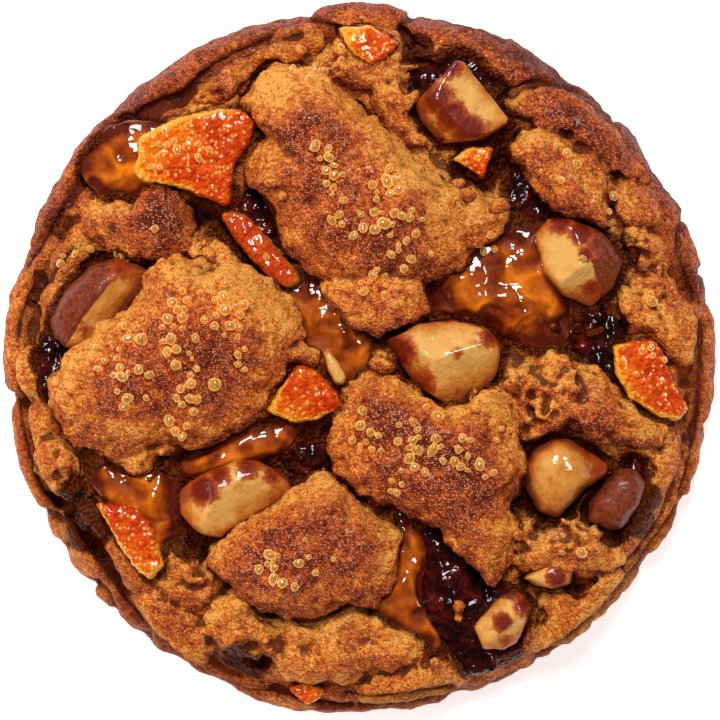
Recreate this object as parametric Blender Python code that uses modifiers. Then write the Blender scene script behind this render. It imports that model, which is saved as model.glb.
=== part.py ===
"""A thick bakery cookie, about 100 mm across and 24 mm high, in metres with +Z up.

The dough is one solid: a turned disc, the folds round its rim, the lumps that rose on its top and
the grains of sugar that stick to them. Nuts, candied peel, caramel and jam are solids of their own,
and each lies in a pocket of the dough. The origin is on the flat underside, at its middle.
"""

import math
import random
from typing import NamedTuple

import bmesh
import bpy
import numpy as np
from mathutils import Matrix, Vector, noise
from mathutils.bvhtree import BVHTree

MM = 0.001
RIM_RADIUS = 49.4
SCALLOP = 0.9
GAP = 0.35
GRAIN_RADII = (0.62, 0.82)
SUGAR_SEED = 7
DOUGH_TRIANGLES = 3720
TRIANGLE_STEP = 60
VOXEL = 0.7 * MM
POOL_TRIANGLES = 150
SHARP_ANGLE = math.radians(40)
CRAG_OFFSETS = (Vector((0, 0, 0)), Vector((31, 17, 5)), Vector((7, 43, 23)))

# Half section of the bare dough disc: radius and height in mm, from the middle of its top, round
# the rim, to the middle of its underside, which is cut level with the origin later.
DISC_SECTION = (
    (0, 14.4), (14, 14.2), (26, 13.6), (35, 12.6), (41, 11.4), (45, 10),
    (48, 8.2), (49.4, 6), (49.4, 3.6), (48.2, 1.4), (45.6, -1.4), (30, -1.4), (0, -1.4),
)
DISC_SIDES = 120
DISC_RINGS = 52

# Angles in degrees, from +X towards +Y, of the notches between the scallops of the outer edge.
RIM_NOTCHES = (
    7, 16, 24, 35, 44, 53, 66, 81, 98, 121, 137, 146, 160, 175, 188, 205, 212, 220, 226, 232,
    238, 249, 268, 286, 302, 317, 325, 337, 352,
)


class Fold(NamedTuple):
    """A roll of dough along the rim, from one angle to another, in degrees and mm."""

    start: float
    end: float
    inner: float
    outer: float
    top: float


FOLDS = (
    Fold(99, 136, 43.2, 49.2, 14.0), Fold(133, 151, 46.0, 49.3, 14.2), Fold(138, 158, 42.2, 47.8, 13.4),
    Fold(146, 165, 43.3, 49.2, 13.2), Fold(151, 176, 39.3, 45.6, 15.2), Fold(164, 188, 45.8, 49.9, 12.0),
    Fold(186, 207, 45.8, 49.8, 11.0),
    Fold(205, 222, 43.2, 48.6, 11.6), Fold(212, 237, 39.8, 45.6, 13.6), Fold(221, 240, 44.3, 48.9, 10.4),
    Fold(235, 263, 41.3, 47.2, 12.4), Fold(240, 276, 46.0, 49.8, 9.6), Fold(260, 292, 43.8, 48.4, 11.8),
    Fold(283, 318, 42.6, 47.6, 12.2), Fold(296, 326, 45.4, 49.3, 9.8), Fold(318, 352, 41.2, 46.9, 14.4),
    Fold(324, 350, 45.8, 49.6, 10.4), Fold(347, 373, 45.2, 49.9, 11.0), Fold(4, 34, 43.6, 49.6, 13.2),
    Fold(30, 55, 42.2, 49.4, 13.8), Fold(50, 83, 41.2, 49.5, 14.6), Fold(80, 100, 44.6, 49.9, 13.6),
)


class Lump(NamedTuple):
    """A body seen from above: its corners, and the heights of its crown and widest level, in mm."""

    corners: tuple
    top: float
    seat: float = 14.5
    depth: float = 6.0
    box: float = 0.8
    swells: tuple = ()
    rough: float = 1.0


# Each swell is a rise or a dent in a lump's top: x, y, radius and height in mm.
LUMPS = {
    "crown": Lump(
        ((-15.5, 35.5), (-12, 40), (-6, 39.8), (0, 34.5), (7, 28.5), (11, 25), (16, 22), (15, 15),
         (11.5, 11.5), (5, 10.5), (-3, 10.5), (-7.5, 13.5), (-11, 17), (-12.5, 22), (-15.2, 25),
         (-15.2, 28.5), (-13.5, 31.5)),
        22.6, swells=((-8, 32, 6, 1.6), (5, 18, 6, 1.4), (-4, 23, 5, 0.6)),
    ),
    "crown_foot": Lump(
        ((-4.5, 11.5), (-3.5, 7), (-0.5, 4.3), (4, 3.6), (7.8, 5.5), (9, 9), (7, 13), (1, 14)), 20.8,
    ),
    "crown_nub": Lump(((11, 24.5), (16.5, 22.5), (20.5, 20), (19.5, 17.2), (15.5, 15.6), (11, 16)), 19.0),
    "broad": Lump(
        ((-28.5, 12.7), (-24.5, 14.2), (-21.5, 12.8), (-18.5, 14.2), (-14.5, 12.5), (-10.5, 9),
         (-8.2, 5), (-9, 0), (-12, -5), (-15, -9), (-21, -11.5), (-27, -12), (-33, -13.3),
         (-38, -11.5), (-41.5, -8.5), (-43, -5), (-41.5, -0.5), (-36.5, 4), (-31.5, 8.5)),
        22.0, swells=((-22, 6, 7, 1.2), (-34, -4, 6, 0.9), (-18, -6, 5, -0.8)),
    ),
    "broad_horn": Lump(
        ((-22.4, 12.6), (-22, 15.4), (-20.4, 17.4), (-18.6, 16.4), (-16.6, 13.8), (-15.5, 11.4), (-19, 9)),
        18.4,
    ),
    "broad_toe": Lump(((-11.5, 3), (-8, 2.3), (-6.2, 0.9), (-7, -0.9), (-11.5, -1.5)), 18.4),
    "broad_lip": Lump(
        ((-36, -12.5), (-33, -14.6), (-30.5, -15), (-28.3, -13.4), (-26.2, -13.3), (-24.6, -12),
         (-25.5, -10), (-34, -9.5)), 17.8,
    ),
    "wing": Lump(
        ((0.5, -2.4), (4, -2.4), (7.5, -3.5), (10.5, -5.8), (14.5, -6.3), (18, -4), (20.2, -5),
         (21, -9), (22.6, -13), (22.5, -16.5), (21, -20), (21.3, -24), (20.5, -28.5), (18.5, -31),
         (16.5, -30), (13, -25.5), (9.5, -22), (5, -20), (0, -18.8), (-3, -16.5), (-4.2, -12.5),
         (-5, -9), (-3.3, -5)),
        21.4, swells=((2, -6, 4, 1.2), (12, -13, 6, 1.0), (17, -26, 4, -1.0)),
    ),
    "keel": Lump(
        ((-5, -15.8), (-2, -17.5), (1, -20.5), (4.5, -22.5), (5.6, -25), (4.8, -29.5), (2.5, -33),
         (-2, -34), (-8, -35.3), (-14, -34.3), (-18.5, -31), (-20.5, -28), (-20, -25.3),
         (-16, -22.3), (-11.5, -19.5), (-8.5, -17)),
        21.4, swells=((-3, -22, 5, 0.8), (-12, -28, 5, 0.6)),
    ),
    "shoulder": Lump(
        ((20.5, 30.2), (25.5, 31.6), (28.5, 30), (32, 27), (33.5, 22.5), (34, 19.2), (32, 18.6),
         (28, 20.2), (25, 22.3), (23.3, 25.5), (21, 28)), 19.8, seat=13.6,
    ),
    "shoulder_knob": Lump(((29.5, 29), (32.5, 28), (35, 25.2), (34.3, 22.8), (32, 23), (29.5, 26)),
        17.8, 13),
    "right_knob": Lump(
        ((35, 24.3), (37.5, 25), (40, 22.8), (41.7, 19.8), (40.5, 17.7), (38, 18.5), (35.5, 21.5)),
        16.4, 12.4,
    ),
    "right_crag": Lump(((36.5, 16.8), (39, 17.8), (42.3, 16.2), (43, 13.8), (40.5, 12.8), (37.5, 13.5)),
        16, 12.4),
    "right_ridge": Lump(
        ((37, 13), (40, 14), (43.5, 11), (46, 7), (47.2, 3), (46, -0.5), (43, 0.5), (40.6, 5),
         (37.5, 9)), 15.8, 11.8,
    ),
    "right_step": Lump(((36, 10), (38.5, 9.5), (42, 7), (43, 3), (41, 2.5), (38, 4.5), (36, 7.5)),
        16.2, 13),
    "east": Lump(
        ((24, -1), (26, 1.6), (28.3, 1.5), (30.5, -0.8), (33, -2), (35.5, -4.8), (39, -7.5),
         (42, -9.3), (41, -11.7), (37.5, -11.8), (33, -11), (29, -9.3), (26, -10.5), (23, -11.3),
         (22.8, -8.5), (24.8, -6), (23.5, -3.5)),
        18.8, swells=((33, -6.5, 4, 1.0),), seat=13.8,
    ),
    "east_crumb": Lump(((19.8, -3.2), (21.5, -1.8), (25, -1.3), (25.6, -3.5), (23.5, -5.4), (20.6, -4.8)),
        17.6, 14.2),
    "east_bean": Lump(((20.6, -5.4), (22.6, -5.2), (23.2, -7.5), (22.6, -9.6), (21.2, -9.2), (20.6, -7)),
        16.6, 14.2),
    "southeast": Lump(
        ((23, -24.5), (26, -22.6), (29, -22), (31.3, -23.3), (33.3, -22.7), (34.5, -24.5), (36, -27),
         (35, -29), (31, -30), (27, -28.5), (22, -29), (20.8, -27.5), (22, -26)), 18.0, 13.4,
    ),
    "southeast_knob": Lump(((21.5, -20.8), (23.5, -22), (24.2, -24), (22.5, -25), (21.2, -23.5)),
        16.8, 13.8),
    "southeast_bank": Lump(
        ((26, -33), (30.5, -32.3), (34.5, -29.5), (36.3, -30), (34, -35), (29, -38.7), (25, -40),
         (24, -37.5), (24.3, -35)), 15.6, 11.8,
    ),
    "south": Lump(
        ((-11.5, -36), (-5, -36.3), (0, -34.8), (4, -36), (8, -38.5), (9.7, -40.5), (8, -42),
         (3, -43), (-3, -44.5), (-9, -44), (-12, -41.5), (-13, -38.5)), 17.0, 12.6,
    ),
    "south_bank": Lump(
        ((3, -43.5), (9, -42.3), (12.5, -40.2), (14.3, -42), (14.6, -44.6), (11, -46.6), (4, -47.5),
         (0, -47), (0.5, -45)), 15.0, 11,
    ),
    "south_bun": Lump(
        ((-20, -34), (-17.5, -32), (-15.6, -33.5), (-14.5, -36), (-11, -38), (-12, -40.3),
         (-15, -41), (-18, -40), (-20.5, -37)), 17.2, 13,
    ),
    "southwest": Lump(
        ((-30.5, -33), (-26, -33), (-23, -35.5), (-20.5, -39.5), (-21.5, -41.5), (-25, -40.5),
         (-29, -37.5), (-31, -35)), 15.2, 12,
    ),
    "southwest_crag": Lump(
        ((-26.5, -25.5), (-24, -25.3), (-22, -28), (-19.5, -31), (-19.8, -34), (-23, -34.3),
         (-26.5, -32.5), (-28, -30.5), (-27.5, -28)), 16.6, 13.2,
    ),
    "north_roll": Lump(((-22.3, 38.3), (-19.5, 41.5), (-16, 43), (-14.8, 40.5), (-16.5, 36.2),
        (-20, 35.6)), 16.2, 12.8),
    "north_bar": Lump(
        ((-18, 41.5), (-15, 43.5), (-10, 45.8), (-6.5, 46), (-4.8, 44), (-7.5, 41.8), (-12.5, 41.3),
         (-16, 40)), 16.0, 12.6,
    ),
    "north_bridge": Lump(
        ((-7.5, 42), (-4, 43.6), (0, 41), (3.4, 40.8), (6.2, 44), (8.3, 43.2), (8.2, 40.3),
         (6.5, 38.3), (2, 37), (-3, 38), (-6.5, 39.8)), 16.8, 13,
    ),
    "north_strip": Lump(
        ((1, 38.5), (5, 39.2), (7, 36), (7.5, 33), (9.2, 30.5), (8, 29.5), (5, 31), (3, 33.5), (1.2, 36)),
        17.2, 13.6,
    ),
    "north_pebble": Lump(((8.8, 41.6), (10.6, 43.4), (13, 43.4), (12.6, 42), (10.4, 40.9)), 15.6, 12.6),
    "northeast": Lump(
        ((20.3, 36.5), (24.5, 38.4), (28.5, 37.3), (33, 34), (37.5, 29.5), (40.5, 25.2), (38, 24.8),
         (34.5, 27.5), (31, 29.5), (28, 32), (24, 32.7), (21, 32.8), (19.3, 35)), 16.6, 12.6,
    ),
    "west": Lump(
        ((-38, 20.5), (-35, 21.6), (-31.5, 21.3), (-29.5, 23.3), (-26.3, 23.6), (-24, 21),
         (-22.5, 17.5), (-21.3, 15.5), (-24, 14.7), (-26.5, 13.5), (-29.5, 13.3), (-33, 15),
         (-37, 16.5)),
        18.2, 13.4, swells=((-27.6, 21.8, 3.4, 2.0),),
    ),
    "west_pebble": Lump(((-47.6, -1), (-46.2, 1.6), (-44.4, 0.6), (-44.6, -2.5), (-46, -4.6), (-47.5, -3)),
        14.4, 11.4),
    "west_bean": Lump(((-46, -6), (-44, -5), (-42.6, -8), (-42.8, -11), (-45, -11.8), (-46, -9)),
        14.6, 11.8),
    "west_ball": Lump(
        ((-44.8, -12.3), (-41, -11.3), (-39, -12.5), (-38.3, -15), (-39, -18), (-41, -19), (-44, -17.5),
         (-45.3, -15)), 16.2, 12.4,
    ),
    "west_crumb": Lump(((-39.2, -21), (-37, -20.2), (-35.5, -22), (-34.8, -24.3), (-37, -24.8),
        (-39, -23.2)), 15.0, 12.6),
    "middle_pebble": Lump(((1.4, -0.6), (2.2, 0.9), (3.8, 0.9), (4.7, -0.6), (4, -2.2), (2.2, -2.4)),
        17.8, 15),
}


class Piece(NamedTuple):
    """Something baked into the dough: a lump's values, with flat cuts and a lean of its top."""

    corners: tuple
    top: float
    seat: float
    depth: float
    box: float
    lean: tuple = (0, 0)
    cuts: tuple = ()
    soft: bool = False
    swells: tuple = ()


# A cut is a flat face: a point on it and the direction that it faces, x, y, z in mm.
NUTS = {
    "nut_north": Piece(
        ((7.5, 35.3), (13, 41.5), (14.2, 41.4), (20.9, 33), (16.5, 30.2), (11, 30), (8.5, 33)),
        20.5, 15.5, 5, 0.5, cuts=(((15, 36, 19.2), (0.25, 0.15, 1)), ((10, 33, 17), (-0.8, -0.75, 0.75))),
    ),
    "nut_east": Piece(
        ((24, 17.5), (26.2, 19.7), (29, 19.6), (33.5, 17.8), (36.6, 13.6), (35, 10), (32, 7.3),
         (28, 9), (25.3, 12)),
        20, 15, 5, 0.6, cuts=(((27.5, 15, 19), (-0.35, 0.05, 1)), ((31, 10, 17.6), (0.35, -0.8, 1))),
    ),
    "nut_middle": Piece(
        ((3.4, 2.7), (8, 5), (13, 5.6), (18, 4.4), (19.6, 2), (19, -2), (15, -6.2), (12.5, -6.4), (8, -4)),
        20.5, 15.5, 5, 0.55, cuts=(((10, 4, 18.6), (-0.1, 0.5, 1)), ((14, -2, 18.4), (0.25, -0.6, 1)),
                                  ((7, -1, 17.2), (-0.9, -0.7, 1))),
    ),
    "nut_west": Piece(
        ((-43, 5.5), (-41, 9.5), (-37.5, 13), (-33.5, 14.3), (-31, 13.4), (-28.8, 12), (-31, 8),
         (-35, 4.3), (-38, 1.5), (-40.5, 1.3), (-42.6, 3.2)),
        19.5, 14.5, 5, 0.8, cuts=(((-34, 8.5, 17.6), (0.7, -0.55, 1)),),
    ),
    "nut_southwest": Piece(
        ((-25, -18), (-22, -15.8), (-17, -13.7), (-14, -13.9), (-10, -16.3), (-9.2, -18), (-12, -20),
         (-17, -22.8), (-19.3, -24.8), (-22, -24.2), (-24.9, -21.5)),
        20, 15, 5, 0.6, cuts=(((-16, -19, 18.6), (0.35, -0.45, 1)), ((-23, -20, 17.6), (-0.9, 0.1, 1))),
    ),
    "nut_southeast": Piece(
        ((27, -10.8), (29.2, -11), (34.4, -14.3), (34.3, -15.6), (31, -18), (27.5, -22), (25, -21.2),
         (22.9, -18), (23, -14.3), (24.5, -12)),
        20, 14.6, 5, 0.75, cuts=(((31.5, -14, 18), (0.8, 0.55, 1)),),
    ),
    "nut_skinned": Piece(
        ((31.6, -20), (33.6, -17.4), (35.9, -14.9), (38.2, -15), (39.6, -17.2), (38.6, -20.2),
         (36.2, -23.4), (34, -23.4), (31.6, -22.4)),
        18.6, 14, 4.5, 0.65,
    ),
    "nut_south": Piece(
        ((15.7, -37), (18, -34.3), (19.6, -32.4), (22, -32), (23.9, -34), (23, -36.4), (21.8, -39.2),
         (20, -40), (17, -40)),
        18.4, 14, 4.5, 0.5, cuts=(((18.5, -36.5, 17.2), (-0.35, 0.1, 1)), ((21, -38, 16.6),
        (0.4, -0.8, 1))),
    ),
    "nut_small": Piece(
        ((22.4, -30.2), (25.5, -28.4), (27.6, -27.9), (29.6, -29), (29.2, -31), (26.5, -31.8),
        (24.5, -31.2)),
        17.6, 14, 4, 0.6,
    ),
    "nut_sliver": Piece(
        ((-5.2, 1.2), (-4.2, 1.4), (-1.8, -2.2), (-2.2, -3.4), (-3.4, -3.3), (-4.4, -1.6)),
        17.6, 16, 2.2, 0.5,
    ),
}

PEEL = {
    "peel_northwest": Piece(
        ((-31, 30.5), (-25, 33.6), (-19, 34.8), (-15.8, 34.4), (-14.4, 32.8), (-15.2, 30), (-17.4, 27),
         (-18, 21), (-20, 21.9), (-25, 23.9), (-30, 24.5), (-31.4, 26), (-30.6, 28.5)),
        18.6, 16.6, 3, 0.3, lean=(0.02, 0.1),
    ),
    "peel_north": Piece(
        ((-3, 46), (1.4, 46.3), (3.6, 45), (5.4, 43.8), (3.8, 42), (1.8, 40.9), (-0.6, 42), (-2.2, 44)),
        17.4, 15.6, 1.8, 0.3, lean=(0.05, -0.14),
    ),
    "peel_northeast": Piece(
        ((12.8, 27.8), (15, 29.4), (18.5, 29.4), (17.8, 27.4), (17, 24.9), (15.8, 26)),
        17.6, 16.2, 1.6, 0.3,
        lean=(0.1, 0.1),
    ),
    "peel_middle": Piece(
        ((-8.6, -0.7), (-6.4, -1.2), (-3, -4.8), (-2.5, -6.5), (-6, -8.2), (-9, -8.7), (-12.9, -7),
         (-11.3, -4.4), (-10, -2.4)),
        19.2, 17.2, 2.6, 0.3, lean=(0, 0.14),
    ),
    "peel_glazed": Piece(
        ((-19.2, 20.2), (-16, 20.2), (-13, 17.2), (-10.6, 14.4), (-8.4, 12), (-8.8, 10.4), (-10.6, 10.1),
         (-14, 12.8), (-17.2, 16.6)),
        17.4, 15.6, 1.8, 0.5, soft=True,
    ),
    "peel_east": Piece(
        ((35.1, 2), (38, 2.6), (40.6, 2.8), (41.9, 1.4), (42.2, -0.6), (45.6, -7), (44, -8.5),
         (41, -7.6), (37.4, -5.4), (35.4, -2)),
        17.4, 15.4, 3, 0.3, lean=(-0.1, 0.04),
    ),
    "peel_southwest": Piece(
        ((-36.9, -19.4), (-34.8, -20), (-31.4, -20.3), (-29.6, -22), (-28.4, -24), (-26.9, -28.4),
         (-29, -30.4), (-31, -29), (-33.6, -25), (-35.6, -21.6)),
        17.2, 15.2, 3, 0.3, lean=(0.12, 0.02),
    ),
    "peel_south": Piece(((-10, -45.7), (-7.6, -45), (-5, -45.8), (-5.6, -47.2), (-7.4, -47.9)),
        12.8, 11.4, 2, 0.35),
}

CARAMEL = {
    "caramel_northwest": Piece(
        ((-37.9, 26.6), (-37, 29.2), (-34, 31.6), (-29, 32.4), (-26, 30), (-27, 25), (-30, 22.8),
         (-34.2, 22.8), (-36.6, 24.6)),
        15.2, 14, 3, 0.85, soft=True, lean=(0.16, -0.12),
    ),
    "caramel_middle": Piece(
        ((-10.4, 10), (-6, 10.6), (-3.2, 8.4), (-1, 5), (1.4, 3), (3, 0.6), (1.4, -1.6), (-2.6, -2.6),
         (-6.4, -0.6), (-8.4, 3), (-9.4, 6.6)),
        15.8, 14, 3, 0.85, soft=True,
    ),
    "caramel_east": Piece(
        ((11, 11), (15, 14.6), (20, 17.4), (24.6, 17.4), (26.6, 12), (28.2, 8), (28.2, 4), (26.4, 1.8),
         (22, 3), (17, 6.2), (11.6, 7)),
        16.6, 14, 3, 0.85, soft=True, swells=((23, 7, 3, 0.8),),
    ),
    "caramel_southwest": Piece(
        ((-37, -13), (-34, -15), (-30, -15), (-26.4, -15.4), (-25.6, -20), (-26, -25), (-27.4, -28),
         (-30.4, -27), (-33.4, -21.4), (-36.4, -17.6)),
        15.6, 14, 3, 0.85, soft=True, swells=((-28, -19, 2.5, 0.8),),
    ),
    "caramel_strip": Piece(
        ((-25.4, -15.4), (-23, -13.6), (-18, -11.4), (-13, -9), (-8.6, -9), (-9.4, -11.6), (-13.4, -13.2),
         (-18.6, -14.4), (-23, -16.2)),
        16.2, 14.4, 3, 0.85, soft=True,
    ),
    "caramel_south": Piece(
        ((5.2, -20.6), (7.6, -23.4), (8.8, -27), (8, -31), (8.8, -34.6), (11.6, -39.4), (8, -38.6),
         (3.6, -36.2), (2, -34.4), (4.6, -31.4), (5.6, -27), (4.8, -23)),
        15.4, 13.6, 3, 0.85, soft=True,
    ),
}

JAM = {
    "jam_south": Piece(
        ((7.6, -21.6), (11, -23), (14, -27), (17, -30.6), (20, -32), (19, -35), (18.4, -39),
         (19, -41.6), (17.6, -43), (15, -42.6), (12.2, -39.4), (8.6, -35), (8.4, -30), (8.6, -26)),
        14.6, 12.8, 3, 0.85, soft=True, swells=((11.5, -33, 3.5, 1.2),), lean=(0, 0.09),
    ),
    "jam_east": Piece(
        ((28, 7), (31, 8), (35, 6.4), (36.4, 3), (35.6, -2), (33.6, -3.6), (31, -0.6), (28.4, 2.4)),
        15.0, 13.4, 3, 0.85, soft=True,
    ),
    "jam_northwest": Piece(
        ((-23.6, 21.6), (-20, 24), (-16.6, 27), (-13.6, 25.6), (-11.6, 22), (-9.8, 17), (-8.6, 13.6),
         (-13, 15), (-19, 17.6), (-21.6, 16.6)),
        14.4, 13, 3, 0.85, soft=True,
    ),
    "jam_northeast": Piece(
        ((20.4, 24), (22.6, 26.4), (24.6, 23.4), (27.4, 20.4), (25, 19.2), (22, 18.4), (20.2, 20.6)),
        14.6, 13.2, 3, 0.85, soft=True,
    ),
    "jam_north": Piece(
        ((7.4, 38), (9, 40.6), (13, 42.4), (17, 41), (19, 37.6), (17, 34), (11, 34), (8, 36)),
        14.4, 12.6, 3, 0.85, soft=True,
    ),
    "jam_middle": Piece(
        ((-10.6, -10), (-7, -9.4), (-4.8, -11.6), (-3.8, -16), (-5, -17.2), (-8.4, -16.4), (-10.6, -13.4)),
        14.6, 13.2, 3, 0.85, soft=True,
    ),
    "jam_southeast": Piece(
        ((37.6, -12.6), (38.8, -12.4), (39.9, -15), (39.9, -18.6), (38, -22.8), (35.8, -25), (34.8, -24),
         (36.4, -21), (37.8, -17)),
        13.8, 12.4, 3, 0.85, soft=True,
    ),
    "jam_west": Piece(
        ((-44.4, 2.6), (-42.6, 3), (-41.6, 0), (-42.6, -4.6), (-44, -5), (-44.6, -2), (-44.2, 0.6)),
        14.0, 12.6, 3, 0.85, soft=True,
    ),
}


LOW_TOP = 19.5
LOW_LUMPS = {name: lump for name, lump in LUMPS.items() if lump.top < LOW_TOP}
# How far above the widest level of what is baked into the disc the dough round it comes, in mm.
BANKS = ((NUTS, -1.3), (PEEL, -1.5), (CARAMEL, 0.9), (JAM, 0.7), (LOW_LUMPS, 0.6))
# A bank is nothing at the first value and whole at the second: shares of a body's outline, heights of
# the bare disc and radii.
BANK_SHARES = 1.7, 1.15
BANK_HEIGHTS = 9, 11
BANK_RADII = 47.5, 45


class Scatter(NamedTuple):
    """A patch of sugar: its middle and half width in mm, and how many grains lie in it."""

    x: float
    y: float
    spread: float
    grains: int


SUGAR = (
    Scatter(-4, 24.5, 2.2, 4), Scatter(3.5, 24, 2.2, 5), Scatter(-1.5, 19.5, 2.6, 5),
    Scatter(3, 18.5, 2.4, 5),
    Scatter(-5, 28.5, 1.5, 2), Scatter(5.5, 14, 1.6, 3), Scatter(2, 10, 2.2, 3), Scatter(-31.5, 3, 2.2, 5),
    Scatter(-25, 6.5, 2.6, 6), Scatter(-18.5, 6.5, 2.6, 6), Scatter(-25, 1.5, 2.4, 4),
    Scatter(-31, -3.5, 2.6, 5),
    Scatter(-23, -4, 3, 4), Scatter(-26, -9.5, 2, 2), Scatter(5, -12, 2.6, 5), Scatter(9, -14, 2.6, 5),
    Scatter(13, -13, 2.4, 4), Scatter(10, -9, 2.4, 3), Scatter(17, -13.5, 2.2, 2),
    Scatter(0.5, -8.5, 1.4, 2),
    Scatter(-13, -28, 1.6, 3), Scatter(-10, -31, 2.2, 3), Scatter(27.5, 27, 2.2, 2),
    Scatter(-5.5, 39, 1.6, 2),
    Scatter(-28, 17, 1.2, 1), Scatter(-42, 13.5, 1.4, 1), Scatter(41, 8, 1.4, 1), Scatter(29, -26, 1.6, 1),
)
COLOURS = {
    "dough": ((0.42, 0.17, 0.06), 0.62),
    "nut": ((0.75, 0.45, 0.19), 0.4),
    "peel": ((0.78, 0.22, 0.02), 0.45),
    "caramel": ((0.5, 0.16, 0.02), 0.12),
    "jam": ((0.07, 0.008, 0.008), 0.15),
}


def clear_scene():
    for obj in list(bpy.data.objects):
        bpy.data.objects.remove(obj)


def collection(name):
    made = bpy.data.collections.new(name)
    bpy.context.scene.collection.children.link(made)
    return made


def material(name):
    colour, roughness = COLOURS[name]
    made = bpy.data.materials.new(name)
    made.use_nodes = True
    shader = made.node_tree.nodes["Principled BSDF"]
    shader.inputs["Base Color"].default_value = (*colour, 1)
    shader.inputs["Roughness"].default_value = roughness
    shader.inputs["Metallic"].default_value = 0
    return made


def rounded(corners, steps=6):
    """A closed Catmull-Rom curve through the corners, as an array of points."""
    p = np.array(corners, float)
    t = np.linspace(0, 1, steps, endpoint=False)[:, None, None]
    a, b, c, d = (np.roll(p, k, axis=0)[None] for k in (1, 0, -1, -2))
    curve = 0.5 * (2 * b + (c - a) * t + (2 * a - 5 * b + 4 * c - d) * t**2 + (3 * b - a - 3 * c + d) * t**3)
    return curve.transpose(1, 0, 2).reshape(-1, 2)


def straight(corners, steps=6):
    """The corners joined by straight edges, as an array of points."""
    p = np.array(corners, float)
    t = np.linspace(0, 1, steps, endpoint=False)[:, None, None]
    edges = p[None] * (1 - t) + np.roll(p, -1, axis=0)[None] * t
    return edges.transpose(1, 0, 2).reshape(-1, 2)


class Outline:
    """The reach of a closed outline from its middle, in any direction."""

    def __init__(self, corners, soft):
        points = rounded(corners) if soft else straight(corners)
        self.middle = points.mean(axis=0)
        away = points - self.middle
        angles = np.arctan2(away[:, 1], away[:, 0])
        order = np.argsort(angles)
        self.angles = angles[order]
        self.reaches = np.hypot(away[:, 0], away[:, 1])[order]

    def reach(self, angle):
        return float(np.interp(angle, self.angles, self.reaches, period=2 * math.pi))

    def share(self, x, y):
        """How far out a point lies: 0 at the middle and 1 on the outline."""
        dx, dy = x - self.middle[0], y - self.middle[1]
        return math.hypot(dx, dy) / self.reach(math.atan2(dy, dx))

    @property
    def size(self):
        return float(self.reaches.mean())


def powered(value, power):
    return math.copysign(abs(value) ** power, value)


def swell_at(swells, x, y):
    return sum(h * math.exp(-((x - sx) ** 2 + (y - sy) ** 2) / r**2) for sx, sy, r, h in swells)


def crag(place, size):
    """A smooth random push, the same on each run, whose bumps are about as wide as size, in mm."""
    return Vector([noise.noise(place / size + offset) for offset in CRAG_OFFSETS])


def sphere(segments, rings):
    bm = bmesh.new()
    bmesh.ops.create_uvsphere(bm, u_segments=segments, v_segments=rings, radius=1)
    return bm


def finished(bm, name, into):
    """Turns a bmesh in mm into an object in metres."""
    mesh = bpy.data.meshes.new(name)
    bmesh.ops.scale(bm, vec=(MM, MM, MM), verts=bm.verts)
    bmesh.ops.recalc_face_normals(bm, faces=bm.faces)
    bm.to_mesh(mesh)
    bm.free()
    obj = bpy.data.objects.new(name, mesh)
    into.objects.link(obj)
    return obj


def make_disc(into):
    """The bare dough: a sphere drawn onto the disc's half section, with a scalloped edge."""
    section = np.array(DISC_SECTION, float)
    along = np.concatenate([[0], np.cumsum(np.hypot(*np.diff(section, axis=0).T))])
    banks = [
        (Outline(body.corners, getattr(body, "soft", True)), body.seat + above)
        for bodies, above in BANKS for body in bodies.values()
    ]
    bm = sphere(DISC_SIDES, DISC_RINGS)
    notches = np.radians(np.array(RIM_NOTCHES, float))
    for v in bm.verts:
        angle = math.atan2(v.co.y, v.co.x) % (2 * math.pi)
        share = math.acos(max(-1.0, min(1.0, v.co.z))) / math.pi
        radius = float(np.interp(share * along[-1], along, section[:, 0]))
        height = float(np.interp(share * along[-1], along, section[:, 1]))
        radius *= (RIM_RADIUS + SCALLOP * (bulge(angle, notches) - 1)) / RIM_RADIUS
        x, y = radius * math.cos(angle), radius * math.sin(angle)
        rise = max(bank_rise(outline, level, x, y, height) for outline, level in banks)
        held = smoothstep(*BANK_HEIGHTS, height) * smoothstep(*BANK_RADII, radius)
        v.co = (x, y, height + max(0, rise) * held)
    return finished(bm, "disc", into)


def bank_rise(outline, level, x, y, height):
    """How far the dough round a body is pushed up towards the level that it lies in."""
    return smoothstep(*BANK_SHARES, outline.share(x, y)) * (level - height)


def smoothstep(low, high, value):
    t = max(0.0, min(1.0, (value - low) / (high - low)))
    return t * t * (3 - 2 * t)


def bulge(angle, notches):
    """0 in a notch and 1 midway between two of them."""
    after = int(np.searchsorted(notches, angle)) % len(notches)
    low, high = notches[after - 1], notches[after]
    span = (high - low) % (2 * math.pi)
    share = ((angle - low) % (2 * math.pi)) / span
    return math.sqrt(max(0.0, 1 - (2 * share - 1) ** 2))


def make_fold(index, fold, into):
    """A roll along the rim: a sphere bent round the cookie's axis."""
    bm = sphere(32, 16)
    half_span = math.radians(fold.end - fold.start) / 2
    mid_angle = math.radians(fold.end + fold.start) / 2
    mid_radius, half_width = (fold.outer + fold.inner) / 2, (fold.outer - fold.inner) / 2
    half_height = half_width * 1.25 + 1
    for v in bm.verts:
        angle = mid_angle + half_span * powered(v.co.x, 0.8)
        radius = mid_radius + half_width * v.co.y
        height = fold.top - half_height + half_height * v.co.z
        v.co = (radius * math.cos(angle), radius * math.sin(angle), height)
    return finished(bm, f"fold_{index}", into)


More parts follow.
